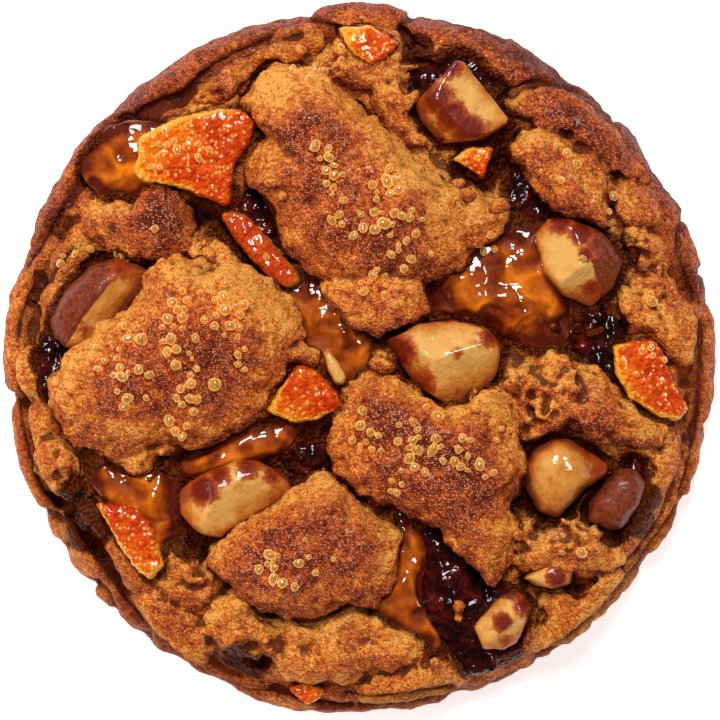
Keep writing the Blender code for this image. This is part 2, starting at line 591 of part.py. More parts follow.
def make_lump(name, lump, into, segments, rings, grow=0.0, soft=True, lean=(0, 0), cuts=()):
    """A pillow over an outline: a sphere stretched to the outline's reach and the lump's heights."""
    outline = Outline(lump.corners, soft)
    cx, cy = outline.middle
    bm = sphere(segments, rings)
    rise, fall = lump.top - lump.seat + grow, lump.depth + grow
    rough = getattr(lump, "rough", 0)
    for v in bm.verts:
        angle = math.atan2(v.co.y, v.co.x)
        out = powered(math.hypot(v.co.x, v.co.y), lump.box) * (outline.reach(angle) + grow)
        up = powered(v.co.z, lump.box)
        x, y = cx + out * math.cos(angle), cy + out * math.sin(angle)
        z = lump.seat + up * (rise if up > 0 else fall)
        if up > 0:
            z += up * (swell_at(lump.swells, x, y) + lean[0] * (x - cx) + lean[1] * (y - cy))
        elif lean != (0, 0):
            z += lean[0] * (x - cx) + lean[1] * (y - cy)
        v.co = (x, y, z)
        if rough:
            v.co += rough * crag(v.co, 6) + rough / 2 * crag(v.co, 2.5)
    for point, facing in cuts:
        cut_flat(bm, Vector(point) + Vector(facing).normalized() * grow, Vector(facing))
    return finished(bm, name, into)


def cut_flat(bm, point, facing):
    """Slices off what lies beyond a plane, and closes the flat face that is left."""
    everything = [*bm.verts, *bm.edges, *bm.faces]
    cut = bmesh.ops.bisect_plane(bm, geom=everything, plane_co=point, plane_no=facing, clear_outer=True)
    edges = [e for e in cut["geom_cut"] if isinstance(e, bmesh.types.BMEdge)]
    bmesh.ops.holes_fill(bm, edges=edges, sides=0)


def sides_for(lump):
    """How many segments and rings a lump of this size takes."""
    size = Outline(lump.corners, True).size
    if size > 9:
        return 64, 32
    if size > 4:
        return 40, 20
    return 24, 12


def baked(obj):
    """Replaces an object's mesh by the one that its modifiers make."""
    graph = bpy.context.evaluated_depsgraph_get()
    mesh = bpy.data.meshes.new_from_object(obj.evaluated_get(graph))
    obj.modifiers.clear()
    obj.data = mesh


def boolean(obj, operation, operands):
    """Joins or cuts an object with every object of a collection, applied at once.

    The exact solver leaves open edges where so many bodies meet, so the manifold one does it.
    """
    modifier = obj.modifiers.new(operation.lower(), "BOOLEAN")
    modifier.operation = operation
    modifier.operand_type = "COLLECTION"
    modifier.collection = operands
    modifier.solver = "MANIFOLD"
    bpy.context.view_layer.update()
    baked(obj)


def discard(used):
    for obj in list(used.objects):
        bpy.data.objects.remove(obj)
    bpy.data.collections.remove(used)


def is_closed(mesh):
    bm = bmesh.new()
    bm.from_mesh(mesh)
    closed = all(edge.is_manifold for edge in bm.edges) and all(v.is_manifold for v in bm.verts)
    bm.free()
    return closed


def simplify(obj, triangles):
    """Spends the triangles where the surface bends, and stops at the first count that stays closed."""
    full = obj.data
    full.calc_loop_triangles()
    count = len(full.loop_triangles)
    while triangles < count:
        modifier = obj.modifiers.new("simplify", "DECIMATE")
        modifier.ratio = triangles / count
        modifier.use_collapse_triangulate = True
        baked(obj)
        if is_closed(obj.data):
            return
        obj.data = full
        triangles += TRIANGLE_STEP


def fused(objects, name, into):
    """Melts overlapping bodies into one, as dough does in the oven."""
    bm = bmesh.new()
    for obj in objects:
        bm.from_mesh(obj.data)
    mesh = bpy.data.meshes.new(name)
    bm.to_mesh(mesh)
    bm.free()
    obj = bpy.data.objects.new(name, mesh)
    into.objects.link(obj)
    modifier = obj.modifiers.new("fuse", "REMESH")
    modifier.mode = "VOXEL"
    modifier.voxel_size = VOXEL
    baked(obj)
    return obj


def stand_flat(obj):
    """Cuts the underside level with the origin."""
    bm = bmesh.new()
    bm.from_mesh(obj.data)
    cut_flat(bm, Vector((0, 0, 0)), Vector((0, 0, -1)))
    bm.to_mesh(obj.data)
    bm.free()


def make_dough(into):
    """The disc, folds and lumps melted into one body."""
    risen = collection("risen dough")
    make_disc(risen)
    for index, fold in enumerate(FOLDS, start=1):
        make_fold(index, fold, risen)
    for name, lump in LUMPS.items():
        make_lump(name, lump, risen, *sides_for(lump))
    dough = fused(risen.objects, "dough", into)
    discard(risen)
    simplify(dough, DOUGH_TRIANGLES)
    stand_flat(dough)
    return dough


def make_pieces(named, into, grow=0.0, suffix=""):
    """One object for each nut, strip of peel or pool, or the pocket that it lies in."""
    made = {}
    for name, piece in named.items():
        segments, rings = (14, 5) if piece.soft else (12, 5)
        made[name] = make_lump(
            name + suffix, piece, into, segments, rings, grow, piece.soft, piece.lean, piece.cuts
        )
    return made


def cut_pockets(targets, groups):
    """Cuts the room of each group's pieces, and a gap round them, out of the targets."""
    pockets = collection("pockets")
    for named in groups:
        make_pieces(named, pockets, GAP, "_pocket")
    for obj in targets:
        boolean(obj, "DIFFERENCE", pockets)
    discard(pockets)


def largest_body(obj):
    """Drops the scraps that a cut left loose."""
    bm = bmesh.new()
    bm.from_mesh(obj.data)
    bm.verts.ensure_lookup_table()
    seen, bodies = set(), []
    for start in bm.verts:
        if start in seen:
            continue
        body, waiting = [], [start]
        seen.add(start)
        while waiting:
            v = waiting.pop()
            body.append(v)
            for edge in v.link_edges:
                other = edge.other_vert(v)
                if other not in seen:
                    seen.add(other)
                    waiting.append(other)
        bodies.append(body)
    bodies.sort(key=len)
    for scrap in bodies[:-1]:
        bmesh.ops.delete(bm, geom=scrap, context="VERTS")
    bm.to_mesh(obj.data)
    bm.free()


def grain_places():
    """Where each grain of sugar lies, its radius and its turn, patch by patch."""
    for index, patch in enumerate(SUGAR):
        draw = random.Random(SUGAR_SEED * 100 + index)
        for _ in range(patch.grains):
            away, angle = patch.spread * math.sqrt(draw.random()), draw.uniform(0, 2 * math.pi)
            radius = draw.uniform(*GRAIN_RADII)
            turn = draw.uniform(0, 2 * math.pi)
            yield patch.x + away * math.cos(angle), patch.y + away * math.sin(angle), radius, turn


def add_sugar(dough, pieces):
    """Fuses the grains of sugar to the lumps that they lie on, clear of the other pieces."""
    surface = BVHTree.FromPolygons(
        [v.co for v in dough.data.vertices], [tuple(p.vertices) for p in dough.data.polygons]
    )
    others = [
        BVHTree.FromPolygons([v.co for v in o.data.vertices], [tuple(p.vertices) for p in o.data.polygons])
        for o in pieces
    ]
    grains = collection("sugar")
    placed = []
    for number, (x, y, radius, turn) in enumerate(grain_places(), start=1):
        start = Vector((x * MM, y * MM, 0.05))
        place, facing, _, _ = surface.ray_cast(start, Vector((0, 0, -1)))
        near = any(tree.find_nearest(place, (radius + 1) * MM)[0] is not None for tree in others)
        crowded = any((place - p).length < (radius + r + 0.15) * MM for p, r in placed)
        if near or crowded or facing.z < 0.5:
            continue
        placed.append((place, radius))
        bm = bmesh.new()
        bmesh.ops.create_icosphere(bm, subdivisions=1, radius=radius)
        bmesh.ops.scale(bm, vec=(1, 1, 0.9), verts=bm.verts)
        matrix = Matrix.Translation(place / MM + facing * radius * 0.3) @ Matrix.Rotation(turn, 4, "Z")
        bmesh.ops.transform(bm, matrix=matrix, verts=bm.verts)
        finished(bm, f"grain_{number}", grains)
    boolean(dough, "UNION", grains)
    discard(grains)
    largest_body(dough)


def dress(group, finish):
    """Gives pieces their material, and shades them smooth between their sharp edges."""
    for obj in group:
        obj.data.materials.clear()
        obj.data.materials.append(finish)
        obj.data.shade_smooth()
        obj.data.set_sharp_from_angle(angle=SHARP_ANGLE)


def main():
    clear_scene()
    cookie = collection("cookie")
    dough = make_dough(cookie)
    nuts = make_pieces(NUTS, cookie)
    peel = make_pieces(PEEL, cookie)
    caramel = make_pieces(CARAMEL, cookie)
    jam = make_pieces(JAM, cookie)
    cut_pockets([dough], [NUTS, PEEL, CARAMEL, JAM])
    cut_pockets(caramel.values(), [NUTS, PEEL])
    cut_pockets(jam.values(), [NUTS, PEEL, CARAMEL])
    for pool in (*caramel.values(), *jam.values()):
        simplify(pool, POOL_TRIANGLES)
    for obj in (dough, *caramel.values(), *jam.values()):
        largest_body(obj)
    add_sugar(dough, [*nuts.values(), *peel.values(), *caramel.values(), *jam.values()])
    for name, group in (("dough", [dough]), ("nut", nuts.values()), ("peel", peel.values()),
                        ("caramel", caramel.values()), ("jam", jam.values())):
        dress(group, material(name))


main()
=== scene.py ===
"""The looks of a thick bakery cookie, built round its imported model.

Everything is worked out in millimetres and made in metres. The dough comes first, then what is
baked into it, then the sugar and crumbs that lie on it, and last the floor, lights and camera.
"""

import math
import random
from typing import NamedTuple

import bmesh
import bpy
import numpy as np
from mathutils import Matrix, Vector, noise
from mathutils.bvhtree import BVHTree


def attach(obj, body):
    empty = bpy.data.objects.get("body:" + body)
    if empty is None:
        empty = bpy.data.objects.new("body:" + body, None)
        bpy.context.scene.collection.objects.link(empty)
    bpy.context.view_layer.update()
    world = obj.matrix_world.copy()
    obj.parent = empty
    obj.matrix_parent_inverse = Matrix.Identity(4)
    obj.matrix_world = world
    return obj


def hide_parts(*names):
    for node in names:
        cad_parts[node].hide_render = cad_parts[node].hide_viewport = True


bl_info = {
    "name": "Bakery Cookie",
    "version": (1, 0, 0),
    "blender": (4, 5, 0),
    "location": "View3D > Sidebar > Cookie",
    "description": "Bakes a thick cookie with nuts, candied peel, caramel, jam and coarse sugar",
    "category": "Object",
}

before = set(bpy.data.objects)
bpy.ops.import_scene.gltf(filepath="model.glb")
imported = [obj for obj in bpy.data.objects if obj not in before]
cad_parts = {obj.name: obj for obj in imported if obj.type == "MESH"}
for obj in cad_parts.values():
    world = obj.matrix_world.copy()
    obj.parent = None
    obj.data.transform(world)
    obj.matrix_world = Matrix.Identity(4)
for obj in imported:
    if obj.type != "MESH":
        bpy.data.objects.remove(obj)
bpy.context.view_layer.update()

MM = 0.001
ROOT = "root"
CRAG_OFFSETS = (Vector((0, 0, 0)), Vector((31, 17, 5)), Vector((7, 43, 23)))
CRAG_SIZES = (6, 2.5)
RIM_RADIUS = 49.4
SCALLOP = 0.9
SUGAR_SEED = 7
GRAIN_RADII = (0.62, 0.82)
FINE_GRAIN_RADII = (0.36, 0.6)
FINE_PER_COARSE = 2
CRUMB_SEED = 41

# Points on an outline for each of its corners.
OUTLINE_STEPS = 8
# Segments and rings of the spheres that the bodies are made from.
DISC_MESH = 252, 60
FOLD_MESH = 64, 24
BOULDER_MESH = 120, 60
PIECE_MESH = 64, 32
# How far the lumps grow past their outlines, to meet what is baked in beside them, in mm.
LUMP_GROWTH = 0.5

# Half section of the bare dough disc: radius and height in mm, from the middle of its top, round
# the rim, to the middle of its flat underside.
DISC_SECTION = (
    (0, 14.4), (14, 14.2), (26, 13.6), (35, 12.6), (41, 11.4), (45, 10),
    (48, 8.2), (49.4, 6), (49.4, 3.6), (48.2, 1.4), (45.6, 0), (30, 0), (0, 0),
)

# Angles in degrees, from +X towards +Y, of the notches between the scallops of the outer edge.
RIM_NOTCHES = (
    7, 16, 24, 35, 44, 53, 66, 81, 98, 121, 137, 146, 160, 175, 188, 205, 212, 220, 226, 232,
    238, 249, 268, 286, 302, 317, 325, 337, 352,
)


class Fold(NamedTuple):
    """A roll of dough along the rim, from one angle to another, in degrees and mm."""

    start: float
    end: float
    inner: float
    outer: float
    top: float


FOLDS = [Fold(*row) for row in (
    (99, 136, 43.2, 49.2, 14.0), (133, 151, 46.0, 49.3, 14.2), (138, 158, 42.2, 47.8, 13.4),
    (146, 165, 43.3, 49.2, 13.2), (151, 176, 39.3, 45.6, 15.2), (164, 188, 45.8, 49.9, 12.0),
    (186, 207, 45.8, 49.8, 11.0),
    (205, 222, 43.2, 48.6, 11.6), (212, 237, 39.8, 45.6, 13.6), (221, 240, 44.3, 48.9, 10.4),
    (235, 263, 41.3, 47.2, 12.4), (240, 276, 46.0, 49.8, 9.6), (260, 292, 43.8, 48.4, 11.8),
    (283, 318, 42.6, 47.6, 12.2), (296, 326, 45.4, 49.3, 9.8), (318, 352, 41.2, 46.9, 14.4),
    (324, 350, 45.8, 49.6, 10.4), (347, 373, 45.2, 49.9, 11.0), (4, 34, 43.6, 49.6, 13.2),
    (30, 55, 42.2, 49.4, 13.8), (50, 83, 41.2, 49.5, 14.6), (80, 100, 44.6, 49.9, 13.6),
)]


class Lump(NamedTuple):
    """A body seen from above: its corners, and the heights of its crown and widest level, in mm."""

    corners: tuple
    top: float
    seat: float = 14.5
    depth: float = 6.0
    box: float = 0.8
    swells: tuple = ()
    rough: float = 1.0


# Each swell is a rise or a dent in a lump's top: x, y, radius and height in mm.
LUMPS = {
    "crown": Lump(
        ((-15.5, 35.5), (-12, 40), (-6, 39.8), (0, 34.5), (7, 28.5), (11, 25), (16, 22), (15, 15),
         (11.5, 11.5), (5, 10.5), (-3, 10.5), (-7.5, 13.5), (-11, 17), (-12.5, 22), (-15.2, 25),
         (-15.2, 28.5), (-13.5, 31.5)),
        22.6, swells=((-8, 32, 6, 1.6), (5, 18, 6, 1.4), (-4, 23, 5, 0.6)),
    ),
    "crown_foot": Lump(
        ((-4.5, 11.5), (-3.5, 7), (-0.5, 4.3), (4, 3.6), (7.8, 5.5), (9, 9), (7, 13), (1, 14)), 20.8,
    ),
    "crown_nub": Lump(((11, 24.5), (16.5, 22.5), (20.5, 20), (19.5, 17.2), (15.5, 15.6), (11, 16)), 19.0),
    "broad": Lump(
        ((-28.5, 12.7), (-24.5, 14.2), (-21.5, 12.8), (-18.5, 14.2), (-14.5, 12.5), (-10.5, 9),
         (-8.2, 5), (-9, 0), (-12, -5), (-15, -9), (-21, -11.5), (-27, -12), (-33, -13.3),
         (-38, -11.5), (-41.5, -8.5), (-43, -5), (-41.5, -0.5), (-36.5, 4), (-31.5, 8.5)),
        22.0, swells=((-22, 6, 7, 1.2), (-34, -4, 6, 0.9), (-18, -6, 5, -0.8)),
    ),
    "broad_horn": Lump(
        ((-22.4, 12.6), (-22, 15.4), (-20.4, 17.4), (-18.6, 16.4), (-16.6, 13.8), (-15.5, 11.4), (-19, 9)),
         18.4,
    ),
    "broad_toe": Lump(((-11.5, 3), (-8, 2.3), (-6.2, 0.9), (-7, -0.9), (-11.5, -1.5)), 18.4),
    "broad_lip": Lump(
        ((-36, -12.5), (-33, -14.6), (-30.5, -15), (-28.3, -13.4), (-26.2, -13.3), (-24.6, -12),
         (-25.5, -10), (-34, -9.5)), 17.8,
    ),
    "wing": Lump(
        ((0.5, -2.4), (4, -2.4), (7.5, -3.5), (10.5, -5.8), (14.5, -6.3), (18, -4), (20.2, -5),
         (21, -9), (22.6, -13), (22.5, -16.5), (21, -20), (21.3, -24), (20.5, -28.5), (18.5, -31),
         (16.5, -30), (13, -25.5), (9.5, -22), (5, -20), (0, -18.8), (-3, -16.5), (-4.2, -12.5),
         (-5, -9), (-3.3, -5)),
        21.4, swells=((2, -6, 4, 1.2), (12, -13, 6, 1.0), (17, -26, 4, -1.0)),
    ),
    "keel": Lump(
        ((-5, -15.8), (-2, -17.5), (1, -20.5), (4.5, -22.5), (5.6, -25), (4.8, -29.5), (2.5, -33),
         (-2, -34), (-8, -35.3), (-14, -34.3), (-18.5, -31), (-20.5, -28), (-20, -25.3),
         (-16, -22.3), (-11.5, -19.5), (-8.5, -17)),
        21.4, swells=((-3, -22, 5, 0.8), (-12, -28, 5, 0.6)),
    ),
    "shoulder": Lump(
        ((20.5, 30.2), (25.5, 31.6), (28.5, 30), (32, 27), (33.5, 22.5), (34, 19.2), (32, 18.6),
         (28, 20.2), (25, 22.3), (23.3, 25.5), (21, 28)), 19.8, seat=13.6,
    ),
    "shoulder_knob": Lump(((29.5, 29), (32.5, 28), (35, 25.2), (34.3, 22.8), (32, 23), (29.5, 26)), 17.8, 13),
    "right_knob": Lump(
        ((35, 24.3), (37.5, 25), (40, 22.8), (41.7, 19.8), (40.5, 17.7), (38, 18.5), (35.5, 21.5)),
         16.4, 12.4,
    ),
    "right_crag": Lump(
        ((36.5, 16.8), (39, 17.8), (42.3, 16.2), (43, 13.8), (40.5, 12.8), (37.5, 13.5)), 16, 12.4,
    ),
    "right_ridge": Lump(
        ((37, 13), (40, 14), (43.5, 11), (46, 7), (47.2, 3), (46, -0.5), (43, 0.5), (40.6, 5),
         (37.5, 9)), 15.8, 11.8,
    ),
    "right_step": Lump(((36, 10), (38.5, 9.5), (42, 7), (43, 3), (41, 2.5), (38, 4.5), (36, 7.5)), 16.2, 13),
    "east": Lump(
        ((24, -1), (26, 1.6), (28.3, 1.5), (30.5, -0.8), (33, -2), (35.5, -4.8), (39, -7.5),
         (42, -9.3), (41, -11.7), (37.5, -11.8), (33, -11), (29, -9.3), (26, -10.5), (23, -11.3),
         (22.8, -8.5), (24.8, -6), (23.5, -3.5)),
        18.8, swells=((33, -6.5, 4, 1.0),), seat=13.8,
    ),
    "east_crumb": Lump(
        ((19.8, -3.2), (21.5, -1.8), (25, -1.3), (25.6, -3.5), (23.5, -5.4), (20.6, -4.8)), 17.6, 14.2,
    ),
    "east_bean": Lump(
        ((20.6, -5.4), (22.6, -5.2), (23.2, -7.5), (22.6, -9.6), (21.2, -9.2), (20.6, -7)), 16.6, 14.2,
    ),
    "southeast": Lump(
        ((23, -24.5), (26, -22.6), (29, -22), (31.3, -23.3), (33.3, -22.7), (34.5, -24.5), (36, -27),
         (35, -29), (31, -30), (27, -28.5), (22, -29), (20.8, -27.5), (22, -26)), 18.0, 13.4,
    ),
    "southeast_knob": Lump(((21.5, -20.8), (23.5, -22), (24.2, -24), (22.5, -25), (21.2, -23.5)), 16.8, 13.8),
    "southeast_bank": Lump(
        ((26, -33), (30.5, -32.3), (34.5, -29.5), (36.3, -30), (34, -35), (29, -38.7), (25, -40),
         (24, -37.5), (24.3, -35)), 15.6, 11.8,
    ),
    "south": Lump(
        ((-11.5, -36), (-5, -36.3), (0, -34.8), (4, -36), (8, -38.5), (9.7, -40.5), (8, -42),
         (3, -43), (-3, -44.5), (-9, -44), (-12, -41.5), (-13, -38.5)), 17.0, 12.6,
    ),
    "south_bank": Lump(
        ((3, -43.5), (9, -42.3), (12.5, -40.2), (14.3, -42), (14.6, -44.6), (11, -46.6), (4, -47.5),
         (0, -47), (0.5, -45)), 15.0, 11,
    ),
    "south_bun": Lump(
        ((-20, -34), (-17.5, -32), (-15.6, -33.5), (-14.5, -36), (-11, -38), (-12, -40.3),
         (-15, -41), (-18, -40), (-20.5, -37)), 17.2, 13,
    ),
    "southwest": Lump(
        ((-30.5, -33), (-26, -33), (-23, -35.5), (-20.5, -39.5), (-21.5, -41.5), (-25, -40.5),
         (-29, -37.5), (-31, -35)), 15.2, 12,
    ),
    "southwest_crag": Lump(
        ((-26.5, -25.5), (-24, -25.3), (-22, -28), (-19.5, -31), (-19.8, -34), (-23, -34.3),
         (-26.5, -32.5), (-28, -30.5), (-27.5, -28)), 16.6, 13.2,
    ),
    "north_roll": Lump(
        ((-22.3, 38.3), (-19.5, 41.5), (-16, 43), (-14.8, 40.5), (-16.5, 36.2), (-20, 35.6)), 16.2, 12.8,
    ),
    "north_bar": Lump(
        ((-18, 41.5), (-15, 43.5), (-10, 45.8), (-6.5, 46), (-4.8, 44), (-7.5, 41.8), (-12.5, 41.3),
         (-16, 40)), 16.0, 12.6,
    ),
    "north_bridge": Lump(
        ((-7.5, 42), (-4, 43.6), (0, 41), (3.4, 40.8), (6.2, 44), (8.3, 43.2), (8.2, 40.3),
         (6.5, 38.3), (2, 37), (-3, 38), (-6.5, 39.8)), 16.8, 13,
    ),
    "north_strip": Lump(
        ((1, 38.5), (5, 39.2), (7, 36), (7.5, 33), (9.2, 30.5), (8, 29.5), (5, 31), (3, 33.5), (1.2, 36)),
         17.2, 13.6,
    ),
    "north_pebble": Lump(((8.8, 41.6), (10.6, 43.4), (13, 43.4), (12.6, 42), (10.4, 40.9)), 15.6, 12.6),
    "northeast": Lump(
        ((20.3, 36.5), (24.5, 38.4), (28.5, 37.3), (33, 34), (37.5, 29.5), (40.5, 25.2), (38, 24.8),
         (34.5, 27.5), (31, 29.5), (28, 32), (24, 32.7), (21, 32.8), (19.3, 35)), 16.6, 12.6,
    ),
    "west": Lump(
        ((-38, 20.5), (-35, 21.6), (-31.5, 21.3), (-29.5, 23.3), (-26.3, 23.6), (-24, 21),
         (-22.5, 17.5), (-21.3, 15.5), (-24, 14.7), (-26.5, 13.5), (-29.5, 13.3), (-33, 15),
         (-37, 16.5)),
        18.2, 13.4, swells=((-27.6, 21.8, 3.4, 2.0),),
    ),
    "west_pebble": Lump(
        ((-47.6, -1), (-46.2, 1.6), (-44.4, 0.6), (-44.6, -2.5), (-46, -4.6), (-47.5, -3)), 14.4, 11.4,
    ),
    "west_bean": Lump(((-46, -6), (-44, -5), (-42.6, -8), (-42.8, -11), (-45, -11.8), (-46, -9)), 14.6, 11.8),
    "west_ball": Lump(
        ((-44.8, -12.3), (-41, -11.3), (-39, -12.5), (-38.3, -15), (-39, -18), (-41, -19), (-44, -17.5),
         (-45.3, -15)), 16.2, 12.4,
    ),
    "west_crumb": Lump(
        ((-39.2, -21), (-37, -20.2), (-35.5, -22), (-34.8, -24.3), (-37, -24.8), (-39, -23.2)), 15.0, 12.6,
    ),
    "middle_pebble": Lump(
        ((1.4, -0.6), (2.2, 0.9), (3.8, 0.9), (4.7, -0.6), (4, -2.2), (2.2, -2.4)), 17.8, 15,
    ),
}


class Piece(NamedTuple):
    """Something baked into the dough: a lump's values, with flat cuts and a lean of its top."""

    corners: tuple
    top: float
    seat: float
    depth: float
    box: float
    lean: tuple = (0, 0)
    cuts: tuple = ()
    soft: bool = False
    swells: tuple = ()


# A cut is a flat face: a point on it and the direction that it faces, x, y, z in mm.
NUTS = {
    "nut_north": Piece(
        ((7.5, 35.3), (13, 41.5), (14.2, 41.4), (20.9, 33), (16.5, 30.2), (11, 30), (8.5, 33)),
        20.5, 15.5, 5, 0.5, cuts=(((15, 36, 19.2), (0.25, 0.15, 1)), ((10, 33, 17), (-0.8, -0.75, 0.75))),
    ),
    "nut_east": Piece(
        ((24, 17.5), (26.2, 19.7), (29, 19.6), (33.5, 17.8), (36.6, 13.6), (35, 10), (32, 7.3),
         (28, 9), (25.3, 12)),
        20, 15, 5, 0.6, cuts=(((27.5, 15, 19), (-0.35, 0.05, 1)), ((31, 10, 17.6), (0.35, -0.8, 1))),
    ),
    "nut_middle": Piece(
        ((3.4, 2.7), (8, 5), (13, 5.6), (18, 4.4), (19.6, 2), (19, -2), (15, -6.2), (12.5, -6.4), (8, -4)),
        20.5, 15.5, 5, 0.55, cuts=(((10, 4, 18.6), (-0.1, 0.5, 1)), ((14, -2, 18.4), (0.25, -0.6, 1)),
                                  ((7, -1, 17.2), (-0.9, -0.7, 1))),
    ),
    "nut_west": Piece(
        ((-43, 5.5), (-41, 9.5), (-37.5, 13), (-33.5, 14.3), (-31, 13.4), (-28.8, 12), (-31, 8),
         (-35, 4.3), (-38, 1.5), (-40.5, 1.3), (-42.6, 3.2)),
        19.5, 14.5, 5, 0.8, cuts=(((-34, 8.5, 17.6), (0.7, -0.55, 1)),),
    ),
    "nut_southwest": Piece(
        ((-25, -18), (-22, -15.8), (-17, -13.7), (-14, -13.9), (-10, -16.3), (-9.2, -18), (-12, -20),
         (-17, -22.8), (-19.3, -24.8), (-22, -24.2), (-24.9, -21.5)),
        20, 15, 5, 0.6, cuts=(((-16, -19, 18.6), (0.35, -0.45, 1)), ((-23, -20, 17.6), (-0.9, 0.1, 1))),
    ),
    "nut_southeast": Piece(
        ((27, -10.8), (29.2, -11), (34.4, -14.3), (34.3, -15.6), (31, -18), (27.5, -22), (25, -21.2),
         (22.9, -18), (23, -14.3), (24.5, -12)),
        20, 14.6, 5, 0.75, cuts=(((31.5, -14, 18), (0.8, 0.55, 1)),),
    ),
    "nut_skinned": Piece(
        ((31.6, -20), (33.6, -17.4), (35.9, -14.9), (38.2, -15), (39.6, -17.2), (38.6, -20.2),
         (36.2, -23.4), (34, -23.4), (31.6, -22.4)),
        18.6, 14, 4.5, 0.65,
    ),
    "nut_south": Piece(
        ((15.7, -37), (18, -34.3), (19.6, -32.4), (22, -32), (23.9, -34), (23, -36.4), (21.8, -39.2),
         (20, -40), (17, -40)),
        18.4, 14, 4.5, 0.5, cuts=(((18.5, -36.5, 17.2), (-0.35, 0.1, 1)), ((21, -38, 16.6), (0.4, -0.8, 1))),
    ),
    "nut_small": Piece(
        ((22.4, -30.2), (25.5, -28.4), (27.6, -27.9), (29.6, -29), (29.2, -31), (26.5, -31.8), (24.5, -31.2)),
        17.6, 14, 4, 0.6,
    ),
    "nut_sliver": Piece(
        ((-5.2, 1.2), (-4.2, 1.4), (-1.8, -2.2), (-2.2, -3.4), (-3.4, -3.3), (-4.4, -1.6)),
         17.6, 16, 2.2, 0.5,
    ),
}

PEEL = {
    "peel_northwest": Piece(
        ((-31, 30.5), (-25, 33.6), (-19, 34.8), (-15.8, 34.4), (-14.4, 32.8), (-15.2, 30), (-17.4, 27),
         (-18, 21), (-20, 21.9), (-25, 23.9), (-30, 24.5), (-31.4, 26), (-30.6, 28.5)),
        18.6, 16.6, 3, 0.3, lean=(0.02, 0.1),
    ),
    "peel_north": Piece(
        ((-3, 46), (1.4, 46.3), (3.6, 45), (5.4, 43.8), (3.8, 42), (1.8, 40.9), (-0.6, 42), (-2.2, 44)),
        17.4, 15.6, 1.8, 0.3, lean=(0.05, -0.14),
    ),
    "peel_northeast": Piece(
        ((12.8, 27.8), (15, 29.4), (18.5, 29.4), (17.8, 27.4), (17, 24.9), (15.8, 26)), 17.6, 16.2, 1.6, 0.3,
        lean=(0.1, 0.1),
    ),
    "peel_middle": Piece(
        ((-8.6, -0.7), (-6.4, -1.2), (-3, -4.8), (-2.5, -6.5), (-6, -8.2), (-9, -8.7), (-12.9, -7),
         (-11.3, -4.4), (-10, -2.4)),
        19.2, 17.2, 2.6, 0.3, lean=(0, 0.14),
    ),
    "peel_glazed": Piece(
        ((-19.2, 20.2), (-16, 20.2), (-13, 17.2), (-10.6, 14.4), (-8.4, 12), (-8.8, 10.4), (-10.6, 10.1),
         (-14, 12.8), (-17.2, 16.6)),
        17.4, 15.6, 1.8, 0.5, soft=True,
    ),
    "peel_east": Piece(
        ((35.1, 2), (38, 2.6), (40.6, 2.8), (41.9, 1.4), (42.2, -0.6), (45.6, -7), (44, -8.5),
         (41, -7.6), (37.4, -5.4), (35.4, -2)),
        17.4, 15.4, 3, 0.3, lean=(-0.1, 0.04),
    ),
    "peel_southwest": Piece(
        ((-36.9, -19.4), (-34.8, -20), (-31.4, -20.3), (-29.6, -22), (-28.4, -24), (-26.9, -28.4),
         (-29, -30.4), (-31, -29), (-33.6, -25), (-35.6, -21.6)),
        17.2, 15.2, 3, 0.3, lean=(0.12, 0.02),
    ),
    "peel_south": Piece(
        ((-10, -45.7), (-7.6, -45), (-5, -45.8), (-5.6, -47.2), (-7.4, -47.9)), 12.8, 11.4, 2, 0.35,
    ),
}

POOL_DEPTH = 3
POOL_BOX = 0.85


def pool(corners, top, seat, **others):
    """A pool of caramel or jam, whose outline has no corners."""
    return Piece(corners, top, seat, POOL_DEPTH, POOL_BOX, soft=True, **others)


CARAMEL = {
    "caramel_northwest": pool(
        ((-37.9, 26.6), (-37, 29.2), (-34, 31.6), (-29, 32.4), (-26, 30), (-27, 25), (-30, 22.8),
         (-34.2, 22.8), (-36.6, 24.6)),
        15.2, 14, lean=(0.16, -0.12),
    ),
    "caramel_middle": pool(
        ((-10.4, 10), (-6, 10.6), (-3.2, 8.4), (-1, 5), (1.4, 3), (3, 0.6), (1.4, -1.6), (-2.6, -2.6),
         (-6.4, -0.6), (-8.4, 3), (-9.4, 6.6)),
        15.8, 14,
    ),
    "caramel_east": pool(
        ((11, 11), (15, 14.6), (20, 17.4), (24.6, 17.4), (26.6, 12), (28.2, 8), (28.2, 4), (26.4, 1.8),
         (22, 3), (17, 6.2), (11.6, 7)),
        16.6, 14, swells=((23, 7, 3, 0.8),),
    ),
    "caramel_southwest": pool(
        ((-37, -13), (-34, -15), (-30, -15), (-26.4, -15.4), (-25.6, -20), (-26, -25), (-27.4, -28),
         (-30.4, -27), (-33.4, -21.4), (-36.4, -17.6)),
        15.6, 14, swells=((-28, -19, 2.5, 0.8),),
    ),
    "caramel_strip": pool(
        ((-25.4, -15.4), (-23, -13.6), (-18, -11.4), (-13, -9), (-8.6, -9), (-9.4, -11.6), (-13.4, -13.2),
         (-18.6, -14.4), (-23, -16.2)),
        16.2, 14.4,
    ),
    "caramel_south": pool(
        ((5.2, -20.6), (7.6, -23.4), (8.8, -27), (8, -31), (8.8, -34.6), (11.6, -39.4), (8, -38.6),
         (3.6, -36.2), (2, -34.4), (4.6, -31.4), (5.6, -27), (4.8, -23)),
        15.4, 13.6,
    ),
}

